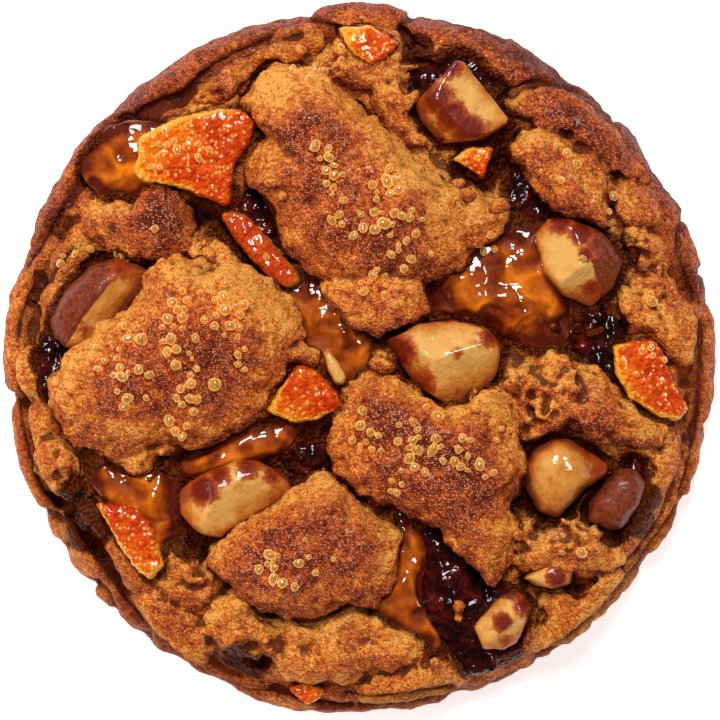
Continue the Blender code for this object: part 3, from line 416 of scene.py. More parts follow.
JAM = {
    "jam_south": pool(
        ((7.6, -21.6), (11, -23), (14, -27), (17, -30.6), (20, -32), (19, -35), (18.4, -39),
         (19, -41.6), (17.6, -43), (15, -42.6), (12.2, -39.4), (8.6, -35), (8.4, -30), (8.6, -26)),
        14.6, 12.8, swells=((11.5, -33, 3.5, 1.2),), lean=(0, 0.09),
    ),
    "jam_east": pool(
        ((28, 7), (31, 8), (35, 6.4), (36.4, 3), (35.6, -2), (33.6, -3.6), (31, -0.6), (28.4, 2.4)),
        15.0, 13.4,
    ),
    "jam_northwest": pool(
        ((-23.6, 21.6), (-20, 24), (-16.6, 27), (-13.6, 25.6), (-11.6, 22), (-9.8, 17), (-8.6, 13.6),
         (-13, 15), (-19, 17.6), (-21.6, 16.6)),
        14.4, 13,
    ),
    "jam_northeast": pool(
        ((20.4, 24), (22.6, 26.4), (24.6, 23.4), (27.4, 20.4), (25, 19.2), (22, 18.4), (20.2, 20.6)),
        14.6, 13.2,
    ),
    "jam_north": pool(
        ((7.4, 38), (9, 40.6), (13, 42.4), (17, 41), (19, 37.6), (17, 34), (11, 34), (8, 36)),
        14.4, 12.6,
    ),
    "jam_middle": pool(
        ((-10.6, -10), (-7, -9.4), (-4.8, -11.6), (-3.8, -16), (-5, -17.2), (-8.4, -16.4), (-10.6, -13.4)),
        14.6, 13.2,
    ),
    "jam_southeast": pool(
        ((37.6, -12.6), (38.8, -12.4), (39.9, -15), (39.9, -18.6), (38, -22.8), (35.8, -25), (34.8, -24),
         (36.4, -21), (37.8, -17)),
        13.8, 12.4,
    ),
    "jam_west": pool(
        ((-44.4, 2.6), (-42.6, 3), (-41.6, 0), (-42.6, -4.6), (-44, -5), (-44.6, -2), (-44.2, 0.6)),
        14.0, 12.6,
    ),
}


class Crease(NamedTuple):
    """A groove between two rolls, with painted shade along it: the points that it runs through, its half
    width and depth, in mm.
    """

    points: tuple
    width: float = 0.5
    depth: float = 1.1


CREASES = [Crease(*row) for row in (
    (((-31.5, 33.8), (-28, 35.6), (-24.7, 36.7), (-22.4, 38.6), (-20.2, 40.7), (-16.6, 42.7), (-14, 44),
      (-11.5, 44.8), (-8.5, 45.2)), 0.6, 1.5),
    (((-16.9, 35.2), (-16.3, 37), (-15.4, 38.6), (-13.8, 39.7), (-11.8, 40.1), (-8.6, 40)), 0.5, 1.2),
    (((-7, 47.8), (-5.4, 46.7), (-3, 45.8)), 0.5, 1.2),
    (((-37, 26.6), (-39.6, 23.2), (-41.4, 20.7), (-43.4, 17.6), (-45, 15.3), (-47, 13.4)), 0.6, 1.6),
    (((-47.4, 3.4), (-46.5, 6.8), (-44.4, 10.6), (-42.1, 13.3), (-39.8, 15.6)), 0.5, 1.2),
    (((-35.8, 32.4), (-34, 33.6), (-31.6, 34)), 0.5, 1.0),
    (((7.6, 48.9), (7.2, 47.4), (6, 46), (7.4, 43.8)), 0.6, 1.4),
    (((9.7, 48.3), (15.5, 46.8), (20.2, 44.7)), 0.45, 0.9),
    (((19.4, 36.2), (22.6, 38), (25.5, 38.8), (28.4, 38.4), (32.3, 36.4), (35.8, 33.8)), 0.6, 1.4),
    (((22, 42.6), (24.2, 41.6), (26.6, 40.4), (28.6, 39.6)), 0.9, 0.9),
    (((40.2, 29), (41.4, 26.4), (43, 24)), 0.4, 0.9),
    (((45.6, 20.8), (44.6, 18), (44.2, 15), (45.2, 11.5), (46.6, 8.6)), 0.5, 1.2),
    (((48.6, 14.4), (47.6, 11.6), (47.6, 8)), 0.4, 0.9),
    (((47.4, 5), (47.2, 1), (46.9, -3.4), (46.8, -6.6), (46.5, -9.8), (46.1, -13), (45.6, -16.3),
      (44.8, -19)), 0.5, 1.3),
    (((45.6, -19.4), (44.4, -21), (43.1, -22.9), (41.7, -24.7), (40.3, -26), (39.5, -27.7)), 0.5, 1.3),
    (((40.1, -28), (38.4, -29.6), (36.2, -32.1), (34.2, -34.3), (31.7, -36.6), (29.1, -38.5), (26.8, -40.1),
      (24.6, -41.7)), 0.5, 1.3),
    (((36, -34.2), (33.4, -37), (30.4, -39.2), (27, -41.2)), 0.4, 0.8),
    (((0, -48.4), (3.3, -48.6), (6.5, -48.1), (9.7, -47.5), (13.6, -46.6), (16.8, -46.2), (19.4, -45.3),
      (22.6, -44)), 0.5, 1.0),
    (((-2, -46.4), (2, -46.9), (4.9, -46.8), (8.1, -46.3), (13, -45.6)), 0.5, 1.1),
    (((-49, -5), (-47.4, -5.6), (-47.1, -7.8), (-46.5, -10.8), (-46, -13.7), (-45, -16.3), (-43.4, -18.6),
      (-41.4, -20), (-40.6, -21)), 0.6, 1.4),
    (((-43.8, -21.2), (-42, -22.4), (-41, -24.4), (-40.9, -26)), 0.5, 1.2),
    (((-40.8, -20.8), (-39.2, -22.7), (-37.8, -24.8), (-36.2, -26.9), (-35.1, -29.2), (-33.9, -31.7),
      (-32.3, -34.3), (-30.9, -36.6), (-29.6, -38.2)), 0.8, 1.7),
    (((-29.6, -37.8), (-26.8, -39.9), (-24.7, -41.9), (-21.5, -44.1), (-18.2, -45.7), (-15, -46.3),
      (-11.8, -46), (-8.9, -46.6), (-4.7, -48.2), (-1, -48.6)), 0.5, 1.3),
    (((-37, -31.2), (-35.4, -32.6), (-34.4, -34.8)), 0.4, 1.0),
    (((-20.4, -41.4), (-17, -42.4), (-13.4, -42.4)), 1.0, 1.2),
)]

SMALL_LUMPS = {name: lump for name, lump in LUMPS.items() if lump.top < 19.5}
# How far above the widest level of what is baked into the disc the dough round it lies, in mm.
BANKS = ((NUTS, -1.3), (PEEL, -1.5), (CARAMEL, 0.9), (JAM, 0.7), (SMALL_LUMPS, 0.6))
# Where a bank rises: from which share of a body's outline to which, and over which of the disc's
# heights and radii, in mm.
BANK_SHARES = 1.7, 1.15
BANK_HEIGHTS = 9, 11
BANK_RADII = 47.5, 45


class Scatter(NamedTuple):
    """A patch of sugar: its middle and half width in mm, and how many grains lie in it."""

    x: float
    y: float
    spread: float
    grains: int


SUGAR = [Scatter(*row) for row in (
    (-4, 24.5, 2.2, 4), (3.5, 24, 2.2, 5), (-1.5, 19.5, 2.6, 5), (3, 18.5, 2.4, 5),
    (-5, 28.5, 1.5, 2), (5.5, 14, 1.6, 3), (2, 10, 2.2, 3), (-31.5, 3, 2.2, 5),
    (-25, 6.5, 2.6, 6), (-18.5, 6.5, 2.6, 6), (-25, 1.5, 2.4, 4), (-31, -3.5, 2.6, 5),
    (-23, -4, 3, 4), (-26, -9.5, 2, 2), (5, -12, 2.6, 5), (9, -14, 2.6, 5),
    (13, -13, 2.4, 4), (10, -9, 2.4, 3), (17, -13.5, 2.2, 2), (0.5, -8.5, 1.4, 2),
    (-13, -28, 1.6, 3), (-10, -31, 2.2, 3), (27.5, 27, 2.2, 2), (-5.5, 39, 1.6, 2),
    (-28, 17, 1.2, 1), (-42, 13.5, 1.4, 1), (41, 8, 1.4, 1), (29, -26, 1.6, 1),
)]
# Grains that lie on the peel and in other odd places.
STRAY_SUGAR = [Scatter(*row) for row in (
    (-20.6, 29, 1.8, 4), (-26, 28.5, 3, 5), (-3.5, 42.5, 1.4, 3), (-8, 41, 1.5, 3),
    (-38.5, 15, 1.0, 2), (-33.5, 14.2, 0.8, 1), (-12, 15, 1.2, 2), (18, 16, 1.5, 2),
    (8, 15.5, 1.6, 3), (34, 21, 2, 3), (40, 0, 2.4, 3), (-16, 1, 2, 3),
    (-21, 10, 2.2, 4), (-35, 0.5, 2, 3), (19, -10, 1.6, 3), (5.5, -16, 2, 3),
    (-6, -27, 2.4, 3), (31, 14, 1.2, 1), (0, -11.5, 1.6, 3), (6, 20, 2, 4),
)]
# How brown each lump's crown is, from 0, golden, to 1, nearly burnt. The others are CROWN_BAKE.
CROWN_BAKES = {
    "crown": 0.46, "crown_foot": 0.22, "crown_nub": 0.2, "broad": 0.5, "wing": 0.56, "keel": 0.54,
    "shoulder": 0.46, "west": 0.5, "southwest": 0.52, "northeast": 0.58, "north_roll": 0.5,
    "broad_horn": 0.12, "right_ridge": 0.4, "right_knob": 0.2, "right_crag": 0.2,
}
CROWN_BAKE = 0.3
FLANK_BAKE = 0.17
SMALL_LUMP_BAKE = 0.12
UNDERSIDE_BAKE = 0.6
# Heights in mm. A soaked spot, and a spot of painted shade in a gap, fades out between the two soak heights,
# going up, and below the first of DRY_HEIGHTS nothing is soaked and no painted shade lies in the gaps.
SOAK_AND_GAP_SHADE_HEIGHTS = 18, 15.5
DRY_HEIGHTS = 9, 11
FLOOR_BAKE = 0.34
RIM_BAKE = 0.5
BOULDERS = ("crown", "broad", "wing", "keel")
BOULDER_PARTS = {
    "crown": ("crown", "crown_foot", "crown_nub"), "broad": ("broad", "broad_horn", "broad_toe", "broad_lip"),
    "wing": ("wing",), "keel": ("keel",),
}


class Patch(NamedTuple):
    """A place that baked darker or lighter than its surroundings, in mm. On the rim, the lighter ones at the
    left, lower left and lower right are painted light where the lamps leave it dim, and the darker ones at
    its upper right are browning and painted shade.
    """

    x: float
    y: float
    radius: float
    bake: float


# Where the dough is dark and wet with syrup, and where painted shade darkens the gaps between lumps and
# beside the fillings: x, y and radius in mm, and how much.
SOAKED_AND_GAP_SHADE = (
    (-15, 17, 7, 1), (0, 3, 4, 1), (-9, -12, 6, 1), (8, -25, 4, 1), (-24, -17, 6, 0.9), (24, 21, 4, 1),
    (30, 4, 5, 1), (20, 12, 5, 1), (13, 38, 6, 0.9), (-43, 0, 3, 1), (-38, -23, 4, 1), (18, -40, 5, 1),
    (40, -19, 2, 1), (-16, -42, 3.5, 0.9), (-20, 22, 4, 1), (46, 11, 2.4, 0.4),
    (8, 43, 2.4, 0.9), (-42, 19, 2.4, 0.5), (21.5, -14, 3, 0.9), (20, -23, 3, 0.8), (36, 15, 3, 0.6),
    (6.5, 3.5, 3, 1), (6, -1, 2, 1), (-9, -1, 3, 0.9), (-2.8, -5.5, 2.4, 1), (-5, -9, 3, 0.9),
    (16, 26.5, 4, 0.7), (20, 28.5, 4, 0.8), (27, -21.5, 3.5, 0.9), (35, -23.5, 2.6, 1), (39.4, -15, 2, 0.6),
    (38.6, -22.4, 2.4, 1), (-23.5, -25.5, 3, 1), (-26.5, -20, 2.5, 0.9), (-33, -14.5, 3, 0.8),
    (24.6, -35.6, 1.5, 0.5), (22.8, -20.6, 2, 0.8), (30, -31.4, 1.6, 0.5), (-40, -17.5, 2.4, 0.8),
)
PATCHES = [Patch(*row) for row in (
    (-6, 31, 5, 0.3), (-7, 34, 2, 0.2), (4, 17, 6, 0.3), (-3, 24, 6, 0.1),
    (8, 26, 4, -0.2), (12, 18, 3, -0.1), (-12, 37, 4, -0.1), (1, 8, 5, 0.12),
    (-24, 2, 8, 0.2), (-33, -4, 6, 0.2), (-17, -2, 5, 0.1), (-22, 9, 5, -0.1),
    (-13, 9, 5, -0.25), (-30, -11, 6, -0.25), (-40, -4, 3, -0.2),
    (1.5, -5, 3.5, 0.4), (6, -10, 6, 0.35), (14, -14, 6, 0.28), (17, -26, 4, -0.05),
    (17, -6, 4, -0.25), (0, -15, 4, -0.1), (-12, -25, 6, 0.25), (-3, -23, 4, 0.25),
    (-17, -27, 4, 0.12), (-5, -33, 4, -0.1), (-27.6, 21.8, 3.6, 0.9), (33, -6.5, 3, 0.4),
    (-43, 20, 4, 0.2), (-30, 35, 4, 0.35), (-45, -20, 5, -0.12), (24, 42, 3, 0.2),
    (46, 11, 3, 0.3), (26, 28, 3, 0.15), (36, 31, 6, 0.3), (43, 22, 5, 0.22),
    (28, 36, 5, 0.2), (20, 43, 7, 0.12), (-20, 43, 6, 0.1), (36, -31, 6, -0.15),
    (44, -17, 6, -0.12), (-41, -27, 6, -0.16), (-34, -39, 6, -0.02), (-47, 7, 7, -0.25), (41, -25, 4, -0.12),
)]


class Tint(NamedTuple):
    """A round patch of skin or scorch on a nut, in mm; its amount goes from 0 to 1."""

    x: float
    y: float
    radius: float
    amount: float


class Skin(NamedTuple):
    """Where a nut keeps its skin: beyond a line through x, y that faces along dx, dy, in mm."""

    x: float
    y: float
    dx: float
    dy: float
    tints: tuple = ()
    toast: float = 0.05


SKINS = {
    "nut_north": Skin(5, 31, -1, -1, (
        Tint(10.6, 36.2, 2.2, 1), Tint(12.6, 33.6, 2.2, 1.1), Tint(15, 31.6, 2.4, 1.1),
        Tint(12, 40.6, 2, 1.0),
    )),
    "nut_east": Skin(31.6, 14, 1, 0.25, (
        Tint(27.6, 19, 1.8, 0.9), Tint(30.4, 17.6, 1.8, 1), Tint(31.2, 14.6, 1.2, 1), Tint(32, 10, 1.4, 0.7),
    )),
    "nut_middle": Skin(5.6, 0, -1, -0.3, (
        Tint(5.2, 1.4, 2.6, 1), Tint(8.5, -3.6, 2.4, 0.7), Tint(18, 3.4, 1.8, 0.7), Tint(13.4, 1, 1.2, 0.5),
    )),
    "nut_west": Skin(-35.8, 8.4, -0.8, 0.6, (Tint(-33, 12.5, 2, 0.6), Tint(-37.6, 4, 1.5, 0.5)), 0.2),
    "nut_southwest": Skin(-25, -15, -0.4, 1, (
        Tint(-21.6, -18, 2.2, 1), Tint(-19.4, -15.8, 1.7, 0.8), Tint(-15.6, -15, 1.8, 0.75),
        Tint(-12, -16, 1.6, 0.7),
    )),
    "nut_southeast": Skin(33, -13.4, 0.9, 0.8, (
        Tint(31.8, -12.6, 1.6, 0.6), Tint(33, -15.4, 1.8, 0.6),
    ), 0.42),
    "nut_skinned": Skin(0, 0, 1, 0),
    "nut_south": Skin(21, -33.6, 0.3, 1, (
        Tint(19.7, -36.3, 1.4, 1), Tint(22.6, -34, 1.6, 0.9), Tint(20.4, -39, 1.4, 0.5),
    )),
    "nut_small": Skin(30.5, -28, 1, 0.3, (Tint(27.2, -29.8, 1.6, 1),)),
    "nut_sliver": Skin(-8, 0, -1, 0),
}


# Towards which side each strip of peel turns pale: x and y of a direction, and how much.
PALE_SIDES = {
    "peel_northwest": (-0.8, 0.4, 0.75), "peel_north": (-0.8, 0.4, 0.9), "peel_northeast": (-0.8, 0.3, 0.8),
    "peel_middle": (-0.6, -0.7, 0.8), "peel_glazed": (0.3, 0.2, 0.2), "peel_east": (-0.7, -0.6, 0.6),
    "peel_southwest": (-0.5, -0.8, 0.8), "peel_south": (0.5, 0.3, 0.6),
}


class Crumb(NamedTuple):
    """A spill of round crumbs: its middle and half width in mm, their count and largest radius."""

    x: float
    y: float
    spread: float
    count: int
    radius: float


CRUMBS = [Crumb(*row) for row in (
    (3, -0.8, 0.3, 1, 1.5), (32, 6, 2.6, 7, 0.9), (36.5, 7, 1.2, 3, 0.9), (15, 24, 2, 6, 1.0),
    (18, 22.5, 2.4, 8, 0.9), (20.5, 20.5, 1.6, 5, 0.8), (-8, -12.5, 2, 5, 0.8),
    (22.5, -3.6, 2.2, 8, 1.1), (28, -3, 2.5, 7, 1.1), (25, -7, 2, 5, 0.9), (38.5, 14.5, 2.4, 9, 1.1),
    (42, 10.5, 1.8, 5, 0.9), (-29, -14.5, 2.6, 6, 1.0), (-41, -15, 2.6, 10, 1.2),
    (-22.5, 14.5, 2, 6, 1.0), (9, 31, 2.4, 6, 0.9), (6, 36, 2, 5, 1.0), (-3, 40.5, 2.4, 6, 0.9),
    (22, -25, 1.6, 5, 0.9), (30, -24.5, 3, 9, 1.0), (27, 5, 1.2, 3, 0.8), (13, -35, 1.2, 2, 0.8),
    (37.3, -24.2, 0.3, 1, 0.8), (-21, 37, 1.5, 4, 1.0), (16, -5.6, 1.6, 4, 0.9), (-12, 23, 1.6, 5, 0.9),
    (28.9, 32, 1.2, 5, 1.1), (36, 26.3, 1.0, 4, 1.0), (-44.5, 9, 2, 5, 0.8), (-22, -29, 2.4, 6, 1.0),
    (-13.5, -40.5, 2, 5, 0.9), (9, -41.5, 2, 5, 0.8),
)]


# Outlines and meshes


def smoothstep(low, high, value):
    t = np.clip((value - low) / (high - low), 0, 1)
    return t * t * (3 - 2 * t)


def rounded(corners):
    """A closed Catmull-Rom curve through the corners, as an array of points."""
    p = np.array(corners, float)
    t = np.linspace(0, 1, OUTLINE_STEPS, endpoint=False)[:, None, None]
    a, b, c, d = (np.roll(p, k, axis=0)[None] for k in (1, 0, -1, -2))
    curve = 0.5 * (2 * b + (c - a) * t + (2 * a - 5 * b + 4 * c - d) * t**2 + (3 * b - a - 3 * c + d) * t**3)
    return curve.transpose(1, 0, 2).reshape(-1, 2)


def straight(corners):
    """The corners joined by straight edges, as an array of points."""
    p = np.array(corners, float)
    t = np.linspace(0, 1, OUTLINE_STEPS, endpoint=False)[:, None, None]
    edges = p[None] * (1 - t) + np.roll(p, -1, axis=0)[None] * t
    return edges.transpose(1, 0, 2).reshape(-1, 2)


class Outline:
    """The reach of a closed outline from its middle, in any direction."""

    def __init__(self, corners, soft=True):
        points = rounded(corners) if soft else straight(corners)
        self.middle = points.mean(axis=0)
        away = points - self.middle
        angles = np.arctan2(away[:, 1], away[:, 0])
        order = np.argsort(angles)
        self.angles = angles[order]
        self.reaches = np.hypot(away[:, 0], away[:, 1])[order]

    def reach(self, angle):
        return np.interp(angle, self.angles, self.reaches, period=2 * math.pi)

    def share(self, x, y):
        """How far out a point lies: 0 at the middle and 1 on the outline."""
        dx, dy = x - self.middle[0], y - self.middle[1]
        return np.hypot(dx, dy) / self.reach(np.arctan2(dy, dx))

    @property
    def size(self):
        return float(self.reaches.mean())


def signed_power(value, power):
    return np.sign(value) * np.abs(value) ** power


def swell_at(swells, x, y):
    return sum((h * np.exp(-((x - sx) ** 2 + (y - sy) ** 2) / r**2) for sx, sy, r, h in swells), 0 * x)


def crag(place, size):
    """A smooth push, the same on each run, whose bumps are about as wide as size, in mm."""
    return Vector([noise.noise(place / size + offset) for offset in CRAG_OFFSETS])


def collection(name):
    found = bpy.data.collections.get(name)
    if found is None:
        found = bpy.data.collections.new(name)
        bpy.context.scene.collection.children.link(found)
    return found


def sphere(segments, rings):
    """A unit sphere, and its points as an array."""
    bm = bmesh.new()
    bmesh.ops.create_uvsphere(bm, u_segments=segments, v_segments=rings, radius=1)
    return bm, np.array([v.co for v in bm.verts])


def move_points(bm, places):
    for v, place in zip(bm.verts, places):
        v.co = place


def object_of(bm, places, name):
    """An object in metres from a bmesh, whose points go to the places, in mm."""
    move_points(bm, places)
    return finished(bm, name)


def finished(bm, name):
    bmesh.ops.scale(bm, vec=(MM, MM, MM), verts=bm.verts)
    bmesh.ops.recalc_face_normals(bm, faces=bm.faces)
    mesh = bpy.data.meshes.new(name)
    bm.to_mesh(mesh)
    bm.free()
    obj = bpy.data.objects.new(name, mesh)
    collection("Cookie").objects.link(obj)
    return obj


def points_of(mesh):
    """A mesh's points, in mm."""
    flat = np.empty(len(mesh.vertices) * 3, np.float32)
    mesh.vertices.foreach_get("co", flat)
    return flat.reshape(-1, 3) / MM


def normals_of(mesh):
    flat = np.empty(len(mesh.vertices) * 3, np.float32)
    mesh.vertex_normals.foreach_get("vector", flat)
    return flat.reshape(-1, 3)


def store(mesh, name, values):
    attribute = mesh.attributes.get(name) or mesh.attributes.new(name, "FLOAT", "POINT")
    attribute.data.foreach_set("value", np.asarray(values, np.float32))


def baked(obj):
    """Replaces an object's mesh by the one that its modifiers make."""
    graph = bpy.context.evaluated_depsgraph_get()
    mesh = bpy.data.meshes.new_from_object(obj.evaluated_get(graph))
    obj.modifiers.clear()
    spent = obj.data
    obj.data = mesh
    bpy.data.meshes.remove(spent)


def make_disc():
    """The bare dough: a sphere drawn onto the disc's half section, with a scalloped edge."""
    section = np.array(DISC_SECTION, float)
    along = np.concatenate([[0], np.cumsum(np.hypot(*np.diff(section, axis=0).T))])
    bm, unit = sphere(*DISC_MESH)
    angle = np.arctan2(unit[:, 1], unit[:, 0]) % (2 * math.pi)
    walked = np.arccos(np.clip(unit[:, 2], -1, 1)) / math.pi * along[-1]
    radius, height = (np.interp(walked, along, section[:, k]) for k in (0, 1))
    radius = radius * (RIM_RADIUS + SCALLOP * (bulge(angle) - 1)) / RIM_RADIUS
    return object_of(bm, np.column_stack([radius * np.cos(angle), radius * np.sin(angle), height]), "disc")


def bulge(angle):
    """0 in a notch of the rim and 1 midway between two of them."""
    notches = np.radians(np.array(RIM_NOTCHES, float))
    after = np.searchsorted(notches, angle) % len(notches)
    low, high = notches[after - 1], notches[after]
    span = (high - low) % (2 * math.pi)
    share = ((angle - low) % (2 * math.pi)) / span
    return np.sqrt(np.maximum(0, 1 - (2 * share - 1) ** 2))


def make_fold(fold):
    """A roll along the rim: a sphere bent round the cookie's axis."""
    bm, unit = sphere(*FOLD_MESH)
    half_span = math.radians(fold.end - fold.start) / 2
    mid_angle = math.radians(fold.end + fold.start) / 2
    mid_radius, half_width = (fold.outer + fold.inner) / 2, (fold.outer - fold.inner) / 2
    half_height = half_width * 1.25 + 1
    angle = mid_angle + half_span * signed_power(unit[:, 0], 0.8)
    radius = mid_radius + half_width * unit[:, 1]
    height = fold.top - half_height + half_height * unit[:, 2]
    return object_of(bm, np.column_stack([radius * np.cos(angle), radius * np.sin(angle), height]), "fold")


def make_pillow(name, body, fineness=PIECE_MESH, grow=0.0):
    """A pillow over an outline: a sphere stretched to the outline's reach and the body's heights."""
    lean_x, lean_y = getattr(body, "lean", (0, 0))
    outline = outline_of(body)
    cx, cy = outline.middle
    bm, unit = sphere(*fineness)
    angle = np.arctan2(unit[:, 1], unit[:, 0])
    out = np.hypot(unit[:, 0], unit[:, 1]) ** body.box * (outline.reach(angle) + grow)
    up = signed_power(unit[:, 2], body.box)
    x, y = cx + out * np.cos(angle), cy + out * np.sin(angle)
    z = body.seat + up * np.where(up > 0, body.top - body.seat, body.depth)
    tilt = lean_x * (x - cx) + lean_y * (y - cy)
    z = z + np.where(up > 0, up * (swell_at(body.swells, x, y) + tilt), tilt)
    places = [Vector(place) for place in np.column_stack([x, y, z])]
    rough = getattr(body, "rough", 0)
    if rough:
        broad, narrow = CRAG_SIZES
        places = [p + rough * crag(p, broad) + rough / 2 * crag(p, narrow) for p in places]
    move_points(bm, places)
    for point, facing in getattr(body, "cuts", ()):
        cut_flat(bm, Vector(point), Vector(facing))
    return finished(bm, name)


def place_points(mesh, places):
    mesh.vertices.foreach_set("co", (places * MM).astype(np.float32).ravel())
    mesh.update()


def outline_of(body):
    return Outline(body.corners, getattr(body, "soft", True))


def raise_banks(obj):
    """Raises the disc's top round whatever is baked into it, so that it sits in a hollow of dough."""
    places = points_of(obj.data)
    x, y, z = places.T
    rise = 0 * z
    for bodies, above in BANKS:
        for body in bodies.values():
            near = smoothstep(*BANK_SHARES, outline_of(body).share(x, y))
            rise = np.maximum(rise, near * (body.seat + above - z))
    places[:, 2] += rise * smoothstep(*BANK_HEIGHTS, z) * smoothstep(*BANK_RADII, np.hypot(x, y))
    place_points(obj.data, places)


def creased(places):
    """How deep each point lies in the creases, in mm, and how much painted shade they get, from 0 to 1."""
    deep, crease_shade = 0 * places[:, 0], 0 * places[:, 0]
    for crease in CREASES:
        corners = np.array(crease.points, float)
        low, high = corners.min(axis=0) - 3, corners.max(axis=0) + 3
        near = np.all((places[:, :2] > low) & (places[:, :2] < high), axis=1)
        spots = places[near, :2]
        off = np.full(len(spots), 9.0)
        for start, end in zip(corners[:-1], corners[1:]):
            run = end - start
            share = np.clip((spots - start) @ run / (run @ run), 0, 1)
            off = np.minimum(off, np.hypot(*(spots - start - share[:, None] * run).T))
        amount = np.exp(-((off / crease.width) ** 2))
        deep[near] = np.maximum(deep[near], 0.65 * crease.depth * amount)
        crease_shade[near] = np.maximum(crease_shade[near], np.exp(-((off / crease.width / 1.5) ** 2)))
    high_up = smoothstep(3, 6, places[:, 2])
    return deep * high_up, crease_shade * high_up


def carve_creases(obj):
    """Presses the creases into a mesh, and stores the painted shade along them."""
    mesh = obj.data
    places = points_of(mesh)
    deep, crease_shade = creased(places)
    place_points(mesh, places - normals_of(mesh) * deep[:, None])
    store(mesh, "crease", crease_shade)


def cut_flat(bm, point, facing):
    """Slices off what lies beyond a plane, and closes the flat face that is left."""
    everything = [*bm.verts, *bm.edges, *bm.faces]
    cut = bmesh.ops.bisect_plane(bm, geom=everything, plane_co=point, plane_no=facing, clear_outer=True)
    edges = [e for e in cut["geom_cut"] if isinstance(e, bmesh.types.BMEdge)]
    bmesh.ops.holes_fill(bm, edges=edges, sides=0)


def fused(objects, name, voxel):
    """Melts overlapping bodies into one fine mesh, and removes them. The voxel is in mm."""
    bm = bmesh.new()
    for obj in objects:
        bm.from_mesh(obj.data)
        bpy.data.objects.remove(obj)
    mesh = bpy.data.meshes.new(name)
    bm.to_mesh(mesh)
    bm.free()
    obj = bpy.data.objects.new(name, mesh)
    collection("Cookie").objects.link(obj)
    modifier = obj.modifiers.new("fuse", "REMESH")
    modifier.mode = "VOXEL"
    modifier.voxel_size = voxel * MM
    baked(obj)
    return obj


def place_piece(obj, slot, *nodes):
    """Hangs a finished piece on the cookie's one body, in place of the nodes that it shows."""
    obj.data.shade_smooth()
    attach(obj, ROOT)
    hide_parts(*nodes)


# Node trees


class Value:
    """A socket that stands in sums: a + b, 1 - a, a * b and a.clamp() add the nodes for them."""

    def __init__(self, tree, socket):
        self.tree = tree
        self.socket = socket

    def _math(self, operation, *terms, clamp=False):
        settings = {"operation": operation, "use_clamp": clamp}
        return self.tree.node("ShaderNodeMath", settings, dict(enumerate(terms)))

    def __add__(self, other):
        return self._math("ADD", self, other)

    def __sub__(self, other):
        return self._math("SUBTRACT", self, other)

    def __rsub__(self, other):
        return self._math("SUBTRACT", other, self)

    def __mul__(self, other):
        return self._math("MULTIPLY", self, other)

    def __truediv__(self, other):
        return self._math("DIVIDE", self, other)

    def __rtruediv__(self, other):
        return self._math("DIVIDE", other, self)

    def __gt__(self, other):
        return self._math("GREATER_THAN", self, other)

    def __lt__(self, other):
        return self._math("LESS_THAN", self, other)

    __radd__ = __add__

    def clamp(self):
        return self._math("ADD", self, 0.0, clamp=True)

    def between(self, low, high):
        """0 below low, 1 above high, and smooth between them."""
        settings = {"interpolation_type": "SMOOTHSTEP"}
        inputs = {"Value": self, "From Min": low, "From Max": high, "To Min": 0.0, "To Max": 1.0}
        return self.tree.node("ShaderNodeMapRange", settings, inputs)


class Tree:
    """A node tree that is written as expressions."""

    def __init__(self, tree):
        self.tree = tree

    def node(self, kind, settings=None, inputs=None, output=0):
        """Adds a node, makes its settings, then fills its sockets with values or links."""
        made = self.tree.nodes.new(kind)
        for key, value in (settings or {}).items():
            if key == "stops":
                set_ramp(made.color_ramp, value)
            else:
                setattr(made, key, value)
        for key, value in (inputs or {}).items():
            if isinstance(value, Value):
                self.tree.links.new(value.socket, made.inputs[key])
            else:
                made.inputs[key].default_value = value
        return Value(self, made.outputs[output])

    def mix(self, share, first, second):
        settings = {"data_type": "RGBA", "clamp_factor": True}
        return self.node("ShaderNodeMix", settings, {0: share, 6: first, 7: second}, output=2)

    def vector(self, operation, first, second, output=0):
        return self.node("ShaderNodeVectorMath", {"operation": operation}, {0: first, 1: second}, output)

    def scaled(self, vector, factor):
        return self.node("ShaderNodeVectorMath", {"operation": "SCALE"}, {0: vector, "Scale": factor})


def set_ramp(ramp, stops):
    while len(ramp.elements) < len(stops):
        ramp.elements.new(0.5)
    for element, (position, colour) in zip(ramp.elements, stops):
        element.position = position
        element.color = (*colour, 1)


def per(size):
    """A texture's scale, for bumps about as wide as size, in mm."""
    return 1 / (size * MM)


class Finish(Tree):
    """A material of one Principled shader over patterns that sit in the cookie's own space."""

    def __init__(self, name):
        self.material = bpy.data.materials.new(name)
        self.material.use_nodes = True
        super().__init__(self.material.node_tree)
        self.shader = self.tree.nodes["Principled BSDF"]
        self.place = self.node("ShaderNodeTexCoord", output="Object")

    def noise(self, size, detail=2.0, roughness=0.5, distortion=0.0):
        inputs = {
            "Vector": self.place, "Scale": per(size), "Detail": detail, "Roughness": roughness,
            "Distortion": distortion,
        }
        return self.node("ShaderNodeTexNoise", {}, inputs)

    def cells(self, size, output="Distance", feature="F1"):
        inputs = {"Vector": self.place, "Scale": per(size)}
        return self.node("ShaderNodeTexVoronoi", {"feature": feature}, inputs, output)

    def attribute(self, name):
        return self.node("ShaderNodeAttribute", {"attribute_name": name}, output="Fac")

    def ramp(self, value, stops):
        return self.node("ShaderNodeValToRGB", {"stops": stops}, {"Fac": value})

    def bump(self, height, depth, below=None):
        """Relief of the given depth in mm, on top of the relief below it."""
        inputs = {"Height": height, "Distance": depth * MM}
        if below is not None:
            inputs["Normal"] = below
        return self.node("ShaderNodeBump", {}, inputs)

    def fill(self, **sockets):
        """Sets the shader's sockets, whose names have spaces for underscores."""
        for key, value in sockets.items():
            socket = self.shader.inputs[key.replace("_", " ")]
            if isinstance(value, Value):
                self.tree.links.new(value.socket, socket)
            else:
                socket.default_value = value
        return self.material


def opaque(colour):
    """A picker's colour property as a plain tuple with full alpha."""
    return (*colour, 1.0)


